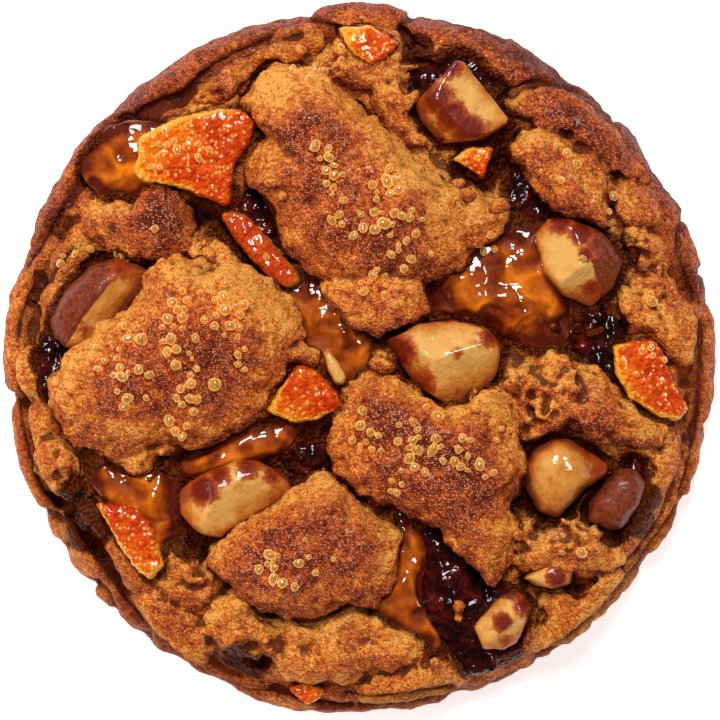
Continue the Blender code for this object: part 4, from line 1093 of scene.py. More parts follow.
def dough_finish(look):
    """Baked dough: golden flanks, brown crowns, a crumb with painted glints, specks of spice, and painted
    shade in its hollows, creases and gaps.
    """
    f = Finish("Baked dough")
    bake, soak_and_gap_shade, hollow, crease, up = map(f.attribute, ("bake", "wet", "hollow", "crease", "up"))
    clouds, blotch, mottle, grain = f.noise(5, 3), f.noise(2, 2), f.noise(0.9, 3, 0.6), f.noise(0.34, 2, 0.7)
    wet = (soak_and_gap_shade + (mottle - 0.5) * 0.5).between(0.15, 0.7)
    kind = f.cells(0.32, "Color")
    tint = f.node("ShaderNodeSeparateColor", {}, {0: kind})
    glint = f.node("ShaderNodeSeparateColor", {}, {0: kind}, output=1)
    tone = (
        bake + (clouds - 0.5) * 0.5 + (blotch - 0.5) * 0.7 + (mottle - 0.5) * 0.9 + (grain - 0.5) * 1.0
        + (tint - 0.5) * 0.5
    )
    colour = f.ramp(tone, (
        (0.0, look.gold_light), (0.2, look.gold), (0.42, look.amber), (0.66, look.brown), (1.0, look.scorch),
    ))
    speck_kind = f.node("ShaderNodeSeparateColor", {}, {0: f.cells(0.7, "Color")})
    specks = (f.cells(0.7) < 0.2) * (speck_kind > 0.75) * (1.1 - bake).clamp()
    colour = f.mix(specks * 0.6, colour, opaque(look.spice))
    # Painted glints: grains lightened towards the glint colour, as if they caught the light.
    painted_sparks = (glint > 0.4) * (f.cells(0.32) < 0.4) * (1 - wet * 0.8)
    colour = f.mix(painted_sparks * (0.1 + bake * 0.55) * f.attribute("relief"), colour, opaque(look.glint))
    # Painted shade in the hollows, in the scorched colour.
    colour = f.mix(hollow.between(0.02, 0.24) * 0.85, colour, opaque(look.scorch))
    # Painted shade along the creases, in the scorched colour.
    colour = f.mix(crease * 0.7, colour, opaque(look.scorch))
    # Soaked dough, and painted shade in the gaps, in the soaked colour.
    colour = f.mix((wet * 0.92).clamp(), colour, opaque(look.soaked_and_gap_shade))
    relief = f.bump(f.cells(0.32) * -1.0 + grain * 0.6, 0.22)
    relief = f.bump(mottle + wet * f.cells(0.7) * -2.2, 0.45, relief)
    gloss = 0.6 - wet * 0.35 - bake * 0.1
    shine = (glint > 0.74) * 0.3 * (1 - wet) * up.between(0.3, 0.8)
    return f.fill(
        Base_Color=colour, Roughness=gloss.clamp(), Normal=relief, Specular_IOR_Level=0.12,
        Coat_Weight=shine.clamp(), Coat_Roughness=0.24,
    )


def nut_finish(look):
    """Glazed roasted nut: pale flesh, toasted towards its edges, and brown skin that wrinkles."""
    f = Finish("Roasted nut")
    skin, scorch, toast = f.attribute("skin"), f.attribute("scorch"), f.attribute("toast")
    clouds, mottle, grain = f.noise(2.6, 3), f.noise(0.7, 3, 0.6), f.noise(0.25, 2)
    tone = toast + (clouds - 0.5) * 1.1 + (mottle - 0.5) * 0.5 + (grain - 0.5) * 0.3
    flesh = f.ramp(tone, (
        (0.05, look.flesh_light), (0.35, look.flesh), (0.75, look.flesh_dark), (1.1, look.skin),
    ))
    hide = f.ramp(mottle, ((0.3, look.skin_dark), (0.7, look.skin)))
    bare = (skin + (mottle - 0.5) * 0.4).between(0.4, 0.62)
    colour = f.mix(bare, flesh, hide)
    burnt = scorch + (mottle - 0.5) * 0.6 + (clouds - 0.5) * 0.6
    colour = f.mix(burnt.between(0.15, 0.45) * 0.95, colour, opaque(look.toffee))
    colour = f.mix(burnt.between(0.4, 0.75) * 0.9, colour, opaque(look.glaze))
    relief = f.bump(mottle * 0.9 + clouds * 0.6 + grain * 0.4, 0.2)
    gloss = 0.4 - bare * 0.06 + (mottle - 0.5) * 0.3
    shine = 0.6 - bare * 0.5
    return f.fill(
        Base_Color=colour, Roughness=gloss.clamp(), Normal=relief, Coat_Weight=shine, Coat_Roughness=0.07,
        Subsurface_Weight=0.08, Subsurface_Radius=(1.0, 0.5, 0.25), Subsurface_Scale=1.0 * MM,
        Specular_IOR_Level=0.15,
    )


def peel_finish(look):
    """Candied peel: a red-orange heart, yellow edges and a glittering crust of fine sugar."""
    f = Finish("Candied peel")
    edge, glazed = f.attribute("edge"), f.attribute("glazed")
    clouds, mottle, grain = f.noise(4.5, 2), f.noise(0.9, 3, 0.6), f.noise(0.3, 2)
    kind = f.node("ShaderNodeSeparateColor", {}, {0: f.cells(0.55, "Color")})
    tone = clouds * 1.0 - 0.1 + (mottle - 0.5) * 0.8 + (grain - 0.5) * 0.6 + (kind - 0.5) * 0.4 + edge * 0.65
    colour = f.ramp(tone, (
        (0.15, look.peel_deep), (0.45, look.peel), (0.8, look.peel_light), (1.1, look.peel_edge),
    ))
    dusted = (f.cells(0.55) < 0.4) * (kind + edge * 0.25 > 0.74) * (1 - glazed) * grain.between(0.35, 0.55)
    colour = f.mix(dusted * 0.8, colour, opaque(look.frost))
    colour = f.mix(glazed * 0.5, colour, opaque(look.peel_glazed))
    relief = f.bump(f.cells(0.55) * -0.8 + mottle * 1.0 + grain * 0.5, 0.3)
    gloss = 0.5 + (grain - 0.5) * 0.3
    shine = (kind > 0.4) * 0.9 + glazed
    return f.fill(
        Base_Color=colour, Roughness=gloss.clamp(), Normal=relief, Specular_IOR_Level=0.12,
        Coat_Weight=shine.clamp(), Coat_Roughness=0.1,
        Subsurface_Weight=0.1, Subsurface_Radius=(1.0, 0.3, 0.05), Subsurface_Scale=0.8 * MM,
    )


def caramel_finish(look):
    """Set caramel: amber with deeper streaks, and slow waves that break up its highlights."""
    f = Finish("Caramel")
    deep = f.attribute("edge")
    flow, ripple, fleck = f.noise(4.5, 1, 0.4, 1.0), f.noise(1.3, 1), f.noise(0.45, 2)
    colour = f.ramp((flow - 0.5) * 1.5 + 0.5 + (ripple - 0.5) * 0.5 - deep * 0.36 + (fleck - 0.5) * 0.1, (
        (0.15, look.caramel_deep), (0.5, look.caramel), (0.85, look.caramel_light),
    ))
    relief = f.bump(flow * 2.4 + ripple * 0.2, 1.1)
    return f.fill(
        Base_Color=colour, Roughness=0.5, Normal=relief, Coat_Weight=1.0, Coat_Roughness=0.03,
        Subsurface_Weight=0.12, Subsurface_Radius=(1.0, 0.3, 0.04), Subsurface_Scale=1.2 * MM,
        Specular_IOR_Level=0.1,
    )


def jam_finish(look):
    """Dark jam: almost black, red where it is thin, lumpy with seeds and wet."""
    f = Finish("Dark jam")
    flow, lumps, fleck = f.noise(3.2, 2), f.cells(1.1, feature="SMOOTH_F1"), f.noise(0.5, 2)
    colour = f.ramp(flow + (fleck - 0.5) * 0.3, (
        (0.38, look.jam_dark), (0.58, look.jam), (0.8, look.jam_light),
    ))
    relief = f.bump(lumps * -1.2 + flow * 0.8 + fleck * 0.5, 0.9)
    return f.fill(
        Base_Color=colour, Roughness=0.5, Normal=relief, Coat_Weight=0.55, Coat_Roughness=0.05,
        Specular_IOR_Level=0.05,
    )


def sugar_finish(look):
    """Coarse amber sugar: clear enough to pick up the crust below it, paler at its sides and glowing there,
    both painted light for a bright rim.
    """
    f = Finish("Coarse sugar")
    # Painted light: the grains paler towards their sides.
    colour = f.ramp(f.attribute("side") + (f.noise(0.5, 1) - 0.5) * 0.9, (
        (0.05, look.sugar_deep), (0.4, look.sugar_amber), (0.75, look.sugar),
    ))
    # A painted glow at the grains' sides, from an emission.
    outer = f.attribute("side") + (f.noise(0.4, 1) - 0.5) * 0.8
    painted_glow = f.ramp(outer, ((0.3, (0, 0, 0)), (0.75, look.painted_sugar_glow)))
    return f.fill(
        Base_Color=colour, Roughness=0.22, IOR=1.5, Transmission_Weight=0.45, Specular_IOR_Level=1.0,
        Coat_Weight=1.0, Coat_Roughness=0.14, Emission_Color=painted_glow, Emission_Strength=0.6,
    )


# Geometry Nodes


class Shaper(Tree):
    """A Geometry Nodes tree with named inputs, run on an object at once."""

    def __init__(self, name, sockets):
        group = bpy.data.node_groups.new(name, "GeometryNodeTree")
        super().__init__(group)
        self.group = group
        self.interface("Geometry", "NodeSocketGeometry", "INPUT")
        for label, kind in sockets:
            self.interface(label, kind, "INPUT")
        self.interface("Geometry", "NodeSocketGeometry", "OUTPUT")
        self.entry = group.nodes.new("NodeGroupInput")
        self.exit = group.nodes.new("NodeGroupOutput")

    def interface(self, label, kind, side):
        self.group.interface.new_socket(label, in_out=side, socket_type=kind)

    def given(self, label):
        return Value(self, self.entry.outputs[label])

    def billows(self, place, size):
        """Rounded bumps of the size given by name, with creases between them."""
        warp = self.node("ShaderNodeTexNoise", {}, {
            "Vector": place, "Scale": 0.6 / self.given(size), "Detail": 1.0,
        }, output="Color")
        bent = self.vector("ADD", place, self.scaled(warp, self.given(size) * 0.7))
        cells = self.node("ShaderNodeTexVoronoi", {"feature": "SMOOTH_F1"}, {
            "Vector": bent, "Scale": 1 / self.given(size), "Smoothness": 0.35,
        })
        return 0.45 - cells

    def ends(self, geometry):
        """Realizes what the tree made, gives it its material and hands it out."""
        solid = self.node("GeometryNodeRealizeInstances", {}, {0: geometry})
        inputs = {"Geometry": solid, "Material": self.given("Material")}
        shown = self.node("GeometryNodeSetMaterial", {}, inputs)
        self.group.links.new(shown.socket, self.exit.inputs[0])

    def run(self, obj, **values):
        """Runs the tree on an object, with input values whose names have spaces for underscores."""
        modifier = obj.modifiers.new(self.group.name, "NODES")
        modifier.node_group = self.group
        for item in self.group.interface.items_tree:
            key = item.name.replace(" ", "_")
            if item.in_out == "INPUT" and key in values:
                modifier[item.identifier] = values[key]
        baked(obj)


def relief_tree():
    """Pushes a surface out in two sizes of rounded crumb, most on its flanks, and stores its creases."""
    t = Shaper("Baked relief", (
        ("Clump Size", "NodeSocketFloat"), ("Clump Height", "NodeSocketFloat"),
        ("Crumb Size", "NodeSocketFloat"), ("Crumb Height", "NodeSocketFloat"),
        ("Crease Depth", "NodeSocketFloat"), ("Top Share", "NodeSocketFloat"),
        ("Smoothing", "NodeSocketInt"), ("Material", "NodeSocketMaterial"),
    ))
    place, facing = t.node("GeometryNodeInputPosition"), t.node("GeometryNodeInputNormal")
    even = t.node("GeometryNodeBlurAttribute", {"data_type": "FLOAT_VECTOR"}, {
        "Value": place, "Iterations": t.given("Smoothing"),
    })
    inward = t.vector("DOT_PRODUCT", t.vector("SUBTRACT", even, place), facing, output=1)
    upward = t.vector("DOT_PRODUCT", facing, (0, 0, 1), output=1)
    rough = t.node("GeometryNodeInputNamedAttribute", {"data_type": "FLOAT"}, {"Name": "relief"})
    share = rough * (1 - upward.between(0.45, 0.95) * (1 - t.given("Top Share")))
    push = (
        t.billows(place, "Clump Size") * t.given("Clump Height") * share
        + t.billows(place, "Crumb Size") * t.given("Crumb Height") * rough
        - inward.clamp() * t.given("Crease Depth")
    )
    moved = t.node("GeometryNodeSetPosition", {}, {
        "Geometry": t.given("Geometry"), "Offset": t.scaled(facing, push),
    })
    # How hollow each point lies, in mm, which the dough's colour uses for painted shade.
    hollow = t.node("GeometryNodeStoreNamedAttribute", {"data_type": "FLOAT", "domain": "POINT"}, {
        "Geometry": moved, "Name": "hollow", "Value": inward / MM,
    })
    t.ends(hollow)
    return t


def scatter_tree():
    """Sets an uneven grain on each point of a mesh, by the point's own radius and turn."""
    t = Shaper("Scattered grains", (
        ("Facets", "NodeSocketInt"), ("Unevenness", "NodeSocketFloat"), ("Bump Size", "NodeSocketFloat"),
        ("Material", "NodeSocketMaterial"),
    ))
    grain = t.node("GeometryNodeMeshIcoSphere", {}, {"Radius": 1.0, "Subdivisions": t.given("Facets")})
    grain = t.node("GeometryNodeSetShadeSmooth", {}, {"Geometry": grain})
    radius = t.node("GeometryNodeInputNamedAttribute", {"data_type": "FLOAT"}, {"Name": "radius"})
    turn = t.node("GeometryNodeInputNamedAttribute", {"data_type": "FLOAT_VECTOR"}, {"Name": "turn"})
    stretch = t.node("FunctionNodeRandomValue", {"data_type": "FLOAT_VECTOR"}, {
        0: (0.8, 0.8, 0.8), 1: (1.15, 1.15, 1.4), "Seed": SUGAR_SEED,
    })
    placed = t.node("GeometryNodeInstanceOnPoints", {}, {
        "Points": t.given("Geometry"), "Instance": grain, "Rotation": turn,
        "Scale": t.scaled(stretch, radius),
    })
    solid = t.node("GeometryNodeRealizeInstances", {}, {0: placed})
    place, facing = t.node("GeometryNodeInputPosition"), t.node("GeometryNodeInputNormal")
    bumps = t.node("ShaderNodeTexNoise", {}, {
        "Vector": place, "Scale": 1 / t.given("Bump Size"), "Detail": 1.0,
    })
    uneven = t.node("GeometryNodeSetPosition", {}, {
        "Geometry": solid, "Offset": t.scaled(facing, (bumps - 0.5) * t.given("Unevenness")),
    })
    t.ends(uneven)
    return t


# How the surface is coloured


LUMP_OUTLINES = {name: Outline(lump.corners) for name, lump in LUMPS.items()}
POOL_OUTLINES = {name: Outline(piece.corners) for name, piece in {**CARAMEL, **JAM}.items()}


def bake_and_shading_at(places, facings, names):
    """How brown the dough is: crowns brown, flanks golden, the rim red-brown, then the patches. Off the rim,
    painted shade darkens the flanks and the sides that face away from the key light, and painted light
    lightens the sides that face it; on the rim, painted shade darkens the sides that face the key light.
    """
    x, y, z = places.T
    away = np.hypot(x, y)
    rim = smoothstep(41, 46, away)
    bake = FLOOR_BAKE + (RIM_BAKE - FLOOR_BAKE) * rim
    for name in names:
        lump, share = LUMPS[name], LUMP_OUTLINES[name].share(x, y)
        inside = smoothstep(1.3, 1.12, share) * smoothstep(lump.seat - 4, lump.seat - 2, z)
        crown = CROWN_BAKES.get(name, CROWN_BAKE)
        own = FLANK_BAKE + (crown - FLANK_BAKE) * smoothstep(0.95, 0.5, share)
        bake = bake + (own - bake) * inside
    if not names:
        for name in SMALL_LUMPS:
            near = smoothstep(1.9, 1.2, LUMP_OUTLINES[name].share(x, y)) * (1 - rim)
            bake = bake + (SMALL_LUMP_BAKE - bake) * near
    # Painted light and shade: flanks and sides facing away from the key light darker, sides facing it
    # lighter.
    bake = bake + (0.3 * (1 - np.clip(facings[:, 2], 0, 1)) - 0.4 * facings[:, 1]) * (1 - rim)
    # Painted shade on the rim's sides that face the key light.
    bake = bake + 0.28 * np.clip(facings[:, 1], 0, 1) * rim
    for patch in PATCHES:
        bake = bake + patch.bake * np.exp(-((x - patch.x) ** 2 + (y - patch.y) ** 2) / patch.radius**2)
    underside = smoothstep(3, 0.5, z)
    return np.clip(bake + (UNDERSIDE_BAKE - bake) * underside, 0, 1)


def wet_and_gap_shade_at(places):
    """How far syrup has soaked the dough round its pools, the nuts and the peel, and how much painted shade
    lies in the gaps.
    """
    x, y, z = places.T
    wet = 0 * x
    for name, outline in POOL_OUTLINES.items():
        top = {**CARAMEL, **JAM}[name].top
        wet = np.maximum(wet, smoothstep(1.5, 1.05, outline.share(x, y)) * smoothstep(top + 1, top - 1, z))
    for bodies, amount in ((NUTS, 0.8), (PEEL, 0.5)):
        for body in bodies.values():
            ring = smoothstep(1.34, 1.08, outline_of(body).share(x, y))
            wet = np.maximum(wet, amount * ring * smoothstep(body.seat + 3, body.seat + 1, z))
    for sx, sy, radius, amount in SOAKED_AND_GAP_SHADE:
        spot = amount * smoothstep(1.2, 0.7, np.hypot(x - sx, y - sy) / radius)
        wet = np.maximum(wet, spot * smoothstep(*SOAK_AND_GAP_SHADE_HEIGHTS, z))
    return wet * smoothstep(*DRY_HEIGHTS, z)


def gap_shade_at(places):
    """How deep each point lies in a gap between two lumps: 0 outside the gaps and 1 at their floor. The
    dough's colour uses it for painted shade in the gaps.
    """
    x, y, z = places.T
    first, second = 0 * x, 0 * x
    for name, outline in LUMP_OUTLINES.items():
        beyond = (outline.share(x, y) - 1) * outline.size
        sunk = smoothstep(LUMPS[name].top - 2, LUMPS[name].top - 5, z)
        near = smoothstep(1.6, 0.2, beyond) * sunk
        second = np.maximum(second, np.minimum(first, near))
        first = np.maximum(first, near)
    return second * smoothstep(46, 43, np.hypot(x, y)) * smoothstep(*DRY_HEIGHTS, z)


def paint_dough(obj, names):
    mesh = obj.data
    places, facings = points_of(mesh), normals_of(mesh)
    gap_shade = gap_shade_at(places)
    # Painted shade in the gaps between lumps: browner, and mixed towards the soaked colour.
    store(mesh, "bake", np.clip(bake_and_shading_at(places, facings, names) + 0.4 * gap_shade, 0, 1))
    store(mesh, "wet", np.maximum(wet_and_gap_shade_at(places), 0.7 * gap_shade))
    store(mesh, "up", facings[:, 2])
    calm = smoothstep(43, 47, np.hypot(places[:, 0], places[:, 1]))
    store(mesh, "relief", 1 - 0.5 * calm)


def off_cuts(piece, places):
    """How far each point lies from the nearest of a piece's flat cuts, in mm."""
    if not piece.cuts:
        return 9 + 0 * places[:, 0]
    planes = [(np.array(point, float), np.array(Vector(facing).normalized())) for point, facing in piece.cuts]
    return np.min([np.abs((places - point) @ facing) for point, facing in planes], axis=0)


def paint_nut(obj, name):
    piece, keep = NUTS[name], SKINS[name]
    places = points_of(obj.data)
    x, y, z = places.T
    line = Vector((keep.dx, keep.dy)).normalized()
    beyond = (x - keep.x) * line.x + (y - keep.y) * line.y
    skinned = smoothstep(0.15, 0.5, off_cuts(piece, places) + 0.35 * (beyond > 0))
    skin = smoothstep(-0.5, 0.5, beyond) * skinned
    scorch = 0 * x
    for tint in keep.tints:
        near = np.exp(-((x - tint.x) ** 2 + (y - tint.y) ** 2) / tint.radius**2)
        scorch = np.maximum(scorch, tint.amount * near)
    share = outline_of(piece).share(x, y)
    low = smoothstep(piece.top - 0.5, piece.seat, z)
    store(obj.data, "skin", skin)
    store(obj.data, "scorch", scorch)
    store(obj.data, "toast", keep.toast + 0.35 * smoothstep(0.65, 1.0, share) + 0.7 * low)


def paint_edge(obj, piece):
    """How near each point is to its piece's outline: 0 in the middle and 1 at the edge."""
    places = points_of(obj.data)
    share = outline_of(piece).share(places[:, 0], places[:, 1])
    store(obj.data, "edge", smoothstep(0.7, 1.0, share))


def paint_peel(obj, name):
    """How pale the peel is: most towards one side, and along its outline on that side."""
    outline, (dx, dy, pale) = outline_of(PEEL[name]), PALE_SIDES[name]
    x, y, _ = points_of(obj.data).T
    along = ((x - outline.middle[0]) * dx + (y - outline.middle[1]) * dy) / outline.reaches.max()
    rim = smoothstep(0.84, 0.94, outline.share(x, y)) * smoothstep(-0.3, 0.1, along)
    store(obj.data, "edge", np.clip(pale * smoothstep(-0.3, 0.9, along) + rim, 0, 1.2))


# What lies on the dough


# From how high above the floor the ground is looked for, in metres.
LOOKOUT = 0.05


class Ground:
    """The highest surface of some pieces, seen from above."""

    def __init__(self, objects):
        self.trees = []
        for obj in objects:
            mesh = obj.data
            places = [v.co for v in mesh.vertices]
            self.trees.append(BVHTree.FromPolygons(places, [tuple(p.vertices) for p in mesh.polygons]))

    def under(self, x, y):
        """The point and its normal under x, y in mm, or None."""
        best = None
        for tree in self.trees:
            place, facing, _, _ = tree.ray_cast(Vector((x * MM, y * MM, LOOKOUT)), Vector((0, 0, -1)))
            if place is not None and (best is None or place.z > best[0].z):
                best = (place, facing)
        return best


class Spot(NamedTuple):
    """A place for a grain or crumb: x, y and radius in mm, and its turn."""

    x: float
    y: float
    radius: float
    turn: float


def coarse_spots():
    """The coarse grains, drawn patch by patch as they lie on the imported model."""
    for index, patch in enumerate(SUGAR):
        draw = random.Random(SUGAR_SEED * 100 + index)
        for _ in range(patch.grains):
            away, angle = patch.spread * math.sqrt(draw.random()), draw.uniform(0, 2 * math.pi)
            radius = draw.uniform(*GRAIN_RADII)
            turn = draw.uniform(0, 2 * math.pi)
            yield Spot(patch.x + away * math.cos(angle), patch.y + away * math.sin(angle), radius, turn)


def fine_spots():
    """Smaller grains between the coarse ones, and on the stray patches."""
    for index, patch in enumerate(SUGAR + STRAY_SUGAR):
        draw = random.Random(SUGAR_SEED * 1000 + index)
        for _ in range(patch.grains * FINE_PER_COARSE):
            away, angle = patch.spread * 1.2 * math.sqrt(draw.random()), draw.uniform(0, 2 * math.pi)
            yield Spot(
                patch.x + away * math.cos(angle), patch.y + away * math.sin(angle),
                draw.uniform(*FINE_GRAIN_RADII), draw.uniform(0, 2 * math.pi),
            )


def crumb_spots():
    for index, crumb in enumerate(CRUMBS):
        draw = random.Random(CRUMB_SEED * 100 + index)
        for count in range(crumb.count):
            away, angle = crumb.spread * math.sqrt(draw.random()), draw.uniform(0, 2 * math.pi)
            radius = crumb.radius * (1 if count == 0 else draw.uniform(0.45, 0.95))
            yield Spot(
                crumb.x + away * math.cos(angle), crumb.y + away * math.sin(angle), radius,
                draw.uniform(0, 2 * math.pi),
            )


def scattered(name, spots, ground, sunk, steepest, crowding, **values):
    """One mesh of grains on the ground, each sunk by a share of its radius."""
    placed = []
    for spot in spots:
        found = ground.under(spot.x, spot.y)
        if found is None or found[1].z < steepest:
            continue
        centre = found[0] + found[1] * spot.radius * MM * (1 - sunk)
        if any((centre - other).length < (spot.radius + r) * MM * crowding for other, r, _ in placed):
            continue
        placed.append((centre, spot.radius, spot.turn))
    mesh = bpy.data.meshes.new(name)
    mesh.from_pydata([tuple(centre) for centre, _, _ in placed], [], [])
    store(mesh, "radius", [radius * MM for _, radius, _ in placed])
    turns = mesh.attributes.new("turn", "FLOAT_VECTOR", "POINT")
    turns.data.foreach_set("vector", [c for _, _, turn in placed for c in (turn, turn * 2, turn * 3)])
    obj = bpy.data.objects.new(name, mesh)
    collection("Cookie").objects.link(obj)
    scatter_tree().run(obj, **values)
    return obj


# What a user would change


def size_property(name, default, description):
    return bpy.props.FloatProperty(
        name=name, description=description, default=default * MM, subtype="DISTANCE", unit="LENGTH",
    )


class CookieSizes(bpy.types.PropertyGroup):
    """How finely the cookie is made, in metres. The defaults are given in mm."""

    rim_voxel: size_property("Rim detail", 0.43, "Width of the mesh's cells on the rim and underside")
    lump_voxel: size_property("Boulder detail", 0.3, "Width of the mesh's cells on the large lumps of dough")
    small_voxel: size_property("Lump detail", 0.37, "Width of the mesh's cells on the small lumps and crumbs")
    filling_voxel: size_property("Filling detail", 0.3, "Width of the mesh's cells on what is baked in")
    clump_height: size_property("Clump height", 1.3, "How far the dough's clumps stand out")
    crumb_height: size_property("Crumb height", 0.3, "How far the dough's crumbs stand out")


def colour_property(name, default, description):
    return bpy.props.FloatVectorProperty(
        name=name, description=description, default=default, size=3, subtype="COLOR", min=0, max=1,
    )


class CookieColours(bpy.types.PropertyGroup):
    """The cookie's colours."""

    gold_light: colour_property("Light dough", (0.8, 0.35, 0.065), "The least baked crumbs")
    gold: colour_property("Golden dough", (0.66, 0.2, 0.022), "Flanks that the oven left light")
    amber: colour_property("Amber dough", (0.52, 0.1, 0.01), "Dough between golden and brown")
    brown: colour_property("Brown dough", (0.33, 0.047, 0.013), "Crowns and the rim")
    # Also the colour of the painted shade in hollows and creases.
    scorch: colour_property("Scorched dough", (0.1, 0.014, 0.005), "The darkest spots and creases")
    # The colour of the painted glints on the dough's grains.
    glint: colour_property("Glints", (0.88, 0.38, 0.19), "Grains that catch the light")
    spice: colour_property("Spice", (0.05, 0.014, 0.004), "Specks in the golden dough")
    # Also the colour of the painted shade in the gaps between lumps.
    soaked_and_gap_shade: colour_property("Soaked dough", (0.08, 0.008, 0.001), "Dough that caramel or jam has soaked")
    flesh_light: colour_property("Light flesh", (0.7, 0.36, 0.09), "Middle of the nuts' cut faces")
    flesh: colour_property("Nut flesh", (0.6, 0.24, 0.038), "Cut faces of the nuts")
    flesh_dark: colour_property("Toasted flesh", (0.42, 0.09, 0.008), "Toasted edges of the cut faces")
    skin: colour_property("Nut skin", (0.26, 0.048, 0.017), "Skin that is left on the nuts")
    skin_dark: colour_property("Dark nut skin", (0.085, 0.011, 0.004), "Furrows of the skin")
    toffee: colour_property("Toffee glaze", (0.34, 0.042, 0.005), "Edges of the burnt syrup")
    glaze: colour_property("Scorched glaze", (0.13, 0.007, 0.003), "Burnt syrup on the nuts")
    peel: colour_property("Peel", (0.62, 0.062, 0.001), "Heart of the candied peel")
    peel_deep: colour_property("Deep peel", (0.44, 0.022, 0.001), "Reddest parts of the peel")
    peel_light: colour_property("Light peel", (0.76, 0.15, 0.003), "Lightest parts of the peel's heart")
    peel_edge: colour_property("Peel edge", (0.86, 0.34, 0.02), "Edges of the candied peel")
    peel_glazed: colour_property("Glazed peel", (0.4, 0.03, 0.002), "Peel under syrup")
    frost: colour_property("Frost", (0.95, 0.55, 0.16), "Fine sugar on the peel")
    caramel: colour_property("Caramel", (0.36, 0.058, 0.001), "Set caramel")
    caramel_deep: colour_property("Deep caramel", (0.1, 0.008, 0.001), "Thick or burnt caramel")
    caramel_light: colour_property("Light caramel", (0.7, 0.17, 0.004), "Streaks in the caramel")
    jam: colour_property("Jam", (0.05, 0.003, 0.002), "Dark jam")
    jam_dark: colour_property("Dark jam", (0.01, 0.001, 0.001), "Its deepest parts")
    jam_light: colour_property("Thin jam", (0.2, 0.01, 0.003), "Where light comes through it")
    sugar: colour_property("Sugar", (1.0, 0.7, 0.22), "Coarse sugar")
    sugar_amber: colour_property("Amber sugar", (0.9, 0.46, 0.07), "Between the grains' hearts and sides")
    sugar_deep: colour_property("Deep sugar", (0.7, 0.28, 0.03), "Hearts of the grains")
    # The colour of the sugar's painted glow.
    painted_sugar_glow: colour_property("Sugar glow", (1.0, 0.58, 0.14), "Light that the grains pass on inside")


def sizes():
    return bpy.context.scene.cookie_sizes


def colours():
    return bpy.context.scene.cookie_colours


# The steps


# What share of its triangles the disc keeps as the flat underside is thinned, and how high in mm the
# underside reaches.
UNDERSIDE_SHARE = 0.7
UNDERSIDE_TOP = 0.6
MADE = {"dough": [], "fillings": []}


def relieved(obj, finish, clump, crumb, crease=0.0, top=1.0, smoothing=10):
    """Gives a fine mesh its clumps, crumbs and creases; each pair is a size and a height in mm."""
    if "relief" not in obj.data.attributes:
        store(obj.data, "relief", np.ones(len(obj.data.vertices)))
    relief_tree().run(
        obj, Clump_Size=clump[0] * MM, Clump_Height=clump[1] * MM, Crumb_Size=crumb[0] * MM,
        Crumb_Height=crumb[1] * MM, Crease_Depth=crease, Top_Share=top, Smoothing=smoothing, Material=finish,
    )


def thin_underside(obj, share):
    """Spends few triangles on the flat underside."""
    places = points_of(obj.data)
    low = obj.vertex_groups.new(name="underside")
    low.add(np.nonzero(places[:, 2] < UNDERSIDE_TOP)[0].tolist(), 1, "REPLACE")
    modifier = obj.modifiers.new("thin", "DECIMATE")
    modifier.ratio = share
    modifier.vertex_group = low.name
    baked(obj)
    obj.vertex_groups.clear()


class COOKIE_OT_base(bpy.types.Operator):
    """Makes the flat round of dough with the rolls along its rim"""

    bl_idname = "cookie.base"
    bl_label = "Base"

    def execute(self, context):
        size = sizes()
        disc = make_disc()
        raise_banks(disc)
        base = fused([disc, *map(make_fold, FOLDS)], "baked_base", size.rim_voxel / MM)
        thin_underside(base, UNDERSIDE_SHARE)
        paint_dough(base, ())
        carve_creases(base)
        relieved(
            base, dough_finish(colours()), (3.0, size.clump_height / MM), (0.9, size.crumb_height / MM),
            crease=0.6, smoothing=14,
        )
        place_piece(base, "dough", "dough")
        MADE["dough"].append(base)
        return {"FINISHED"}


class COOKIE_OT_boulders(bpy.types.Operator):
    """Makes the four large lumps of dough"""

    bl_idname = "cookie.boulders"
    bl_label = "Boulders"

    def execute(self, context):
        size = sizes()
        finish = bpy.data.materials["Baked dough"]
        for boulder in BOULDERS:
            parts = [
                make_pillow(name, LUMPS[name], BOULDER_MESH, LUMP_GROWTH) for name in BOULDER_PARTS[boulder]
            ]
            obj = fused(parts, f"baked_{boulder}", size.lump_voxel / MM)
            paint_dough(obj, BOULDER_PARTS[boulder])
            relieved(
                obj, finish, (2.6, size.clump_height / MM), (0.8, size.crumb_height / MM),
                crease=0.8, top=0.5,
            )
            place_piece(obj, "dough", "dough")
            MADE["dough"].append(obj)
        return {"FINISHED"}


class COOKIE_OT_lumps(bpy.types.Operator):
    """Makes the smaller lumps of dough, and scatters crumbs in the creases"""

    bl_idname = "cookie.lumps"
    bl_label = "Lumps and crumbs"

    def execute(self, context):
        size = sizes()
        finish = bpy.data.materials["Baked dough"]
        large = {name for names in BOULDER_PARTS.values() for name in names}
        names = [name for name in LUMPS if name not in large]
        parts = [make_pillow(name, LUMPS[name], grow=LUMP_GROWTH) for name in names]
        crumbs = scattered(
            "crumbs", crumb_spots(), Ground(MADE["dough"] + MADE["fillings"] + parts), sunk=0.7, steepest=0.2,
            crowding=0.5, Facets=3, Unevenness=0.7 * MM, Bump_Size=1.3 * MM, Material=finish,
        )
        obj = fused([*parts, crumbs], "baked_lumps", size.small_voxel / MM)
        paint_dough(obj, names)
        carve_creases(obj)
        relieved(
            obj, finish, (2.2, size.clump_height / MM), (0.8, size.crumb_height / MM),
            crease=0.8, top=0.75,
        )
        place_piece(obj, "dough", "dough")
        MADE["dough"].append(obj)
        return {"FINISHED"}


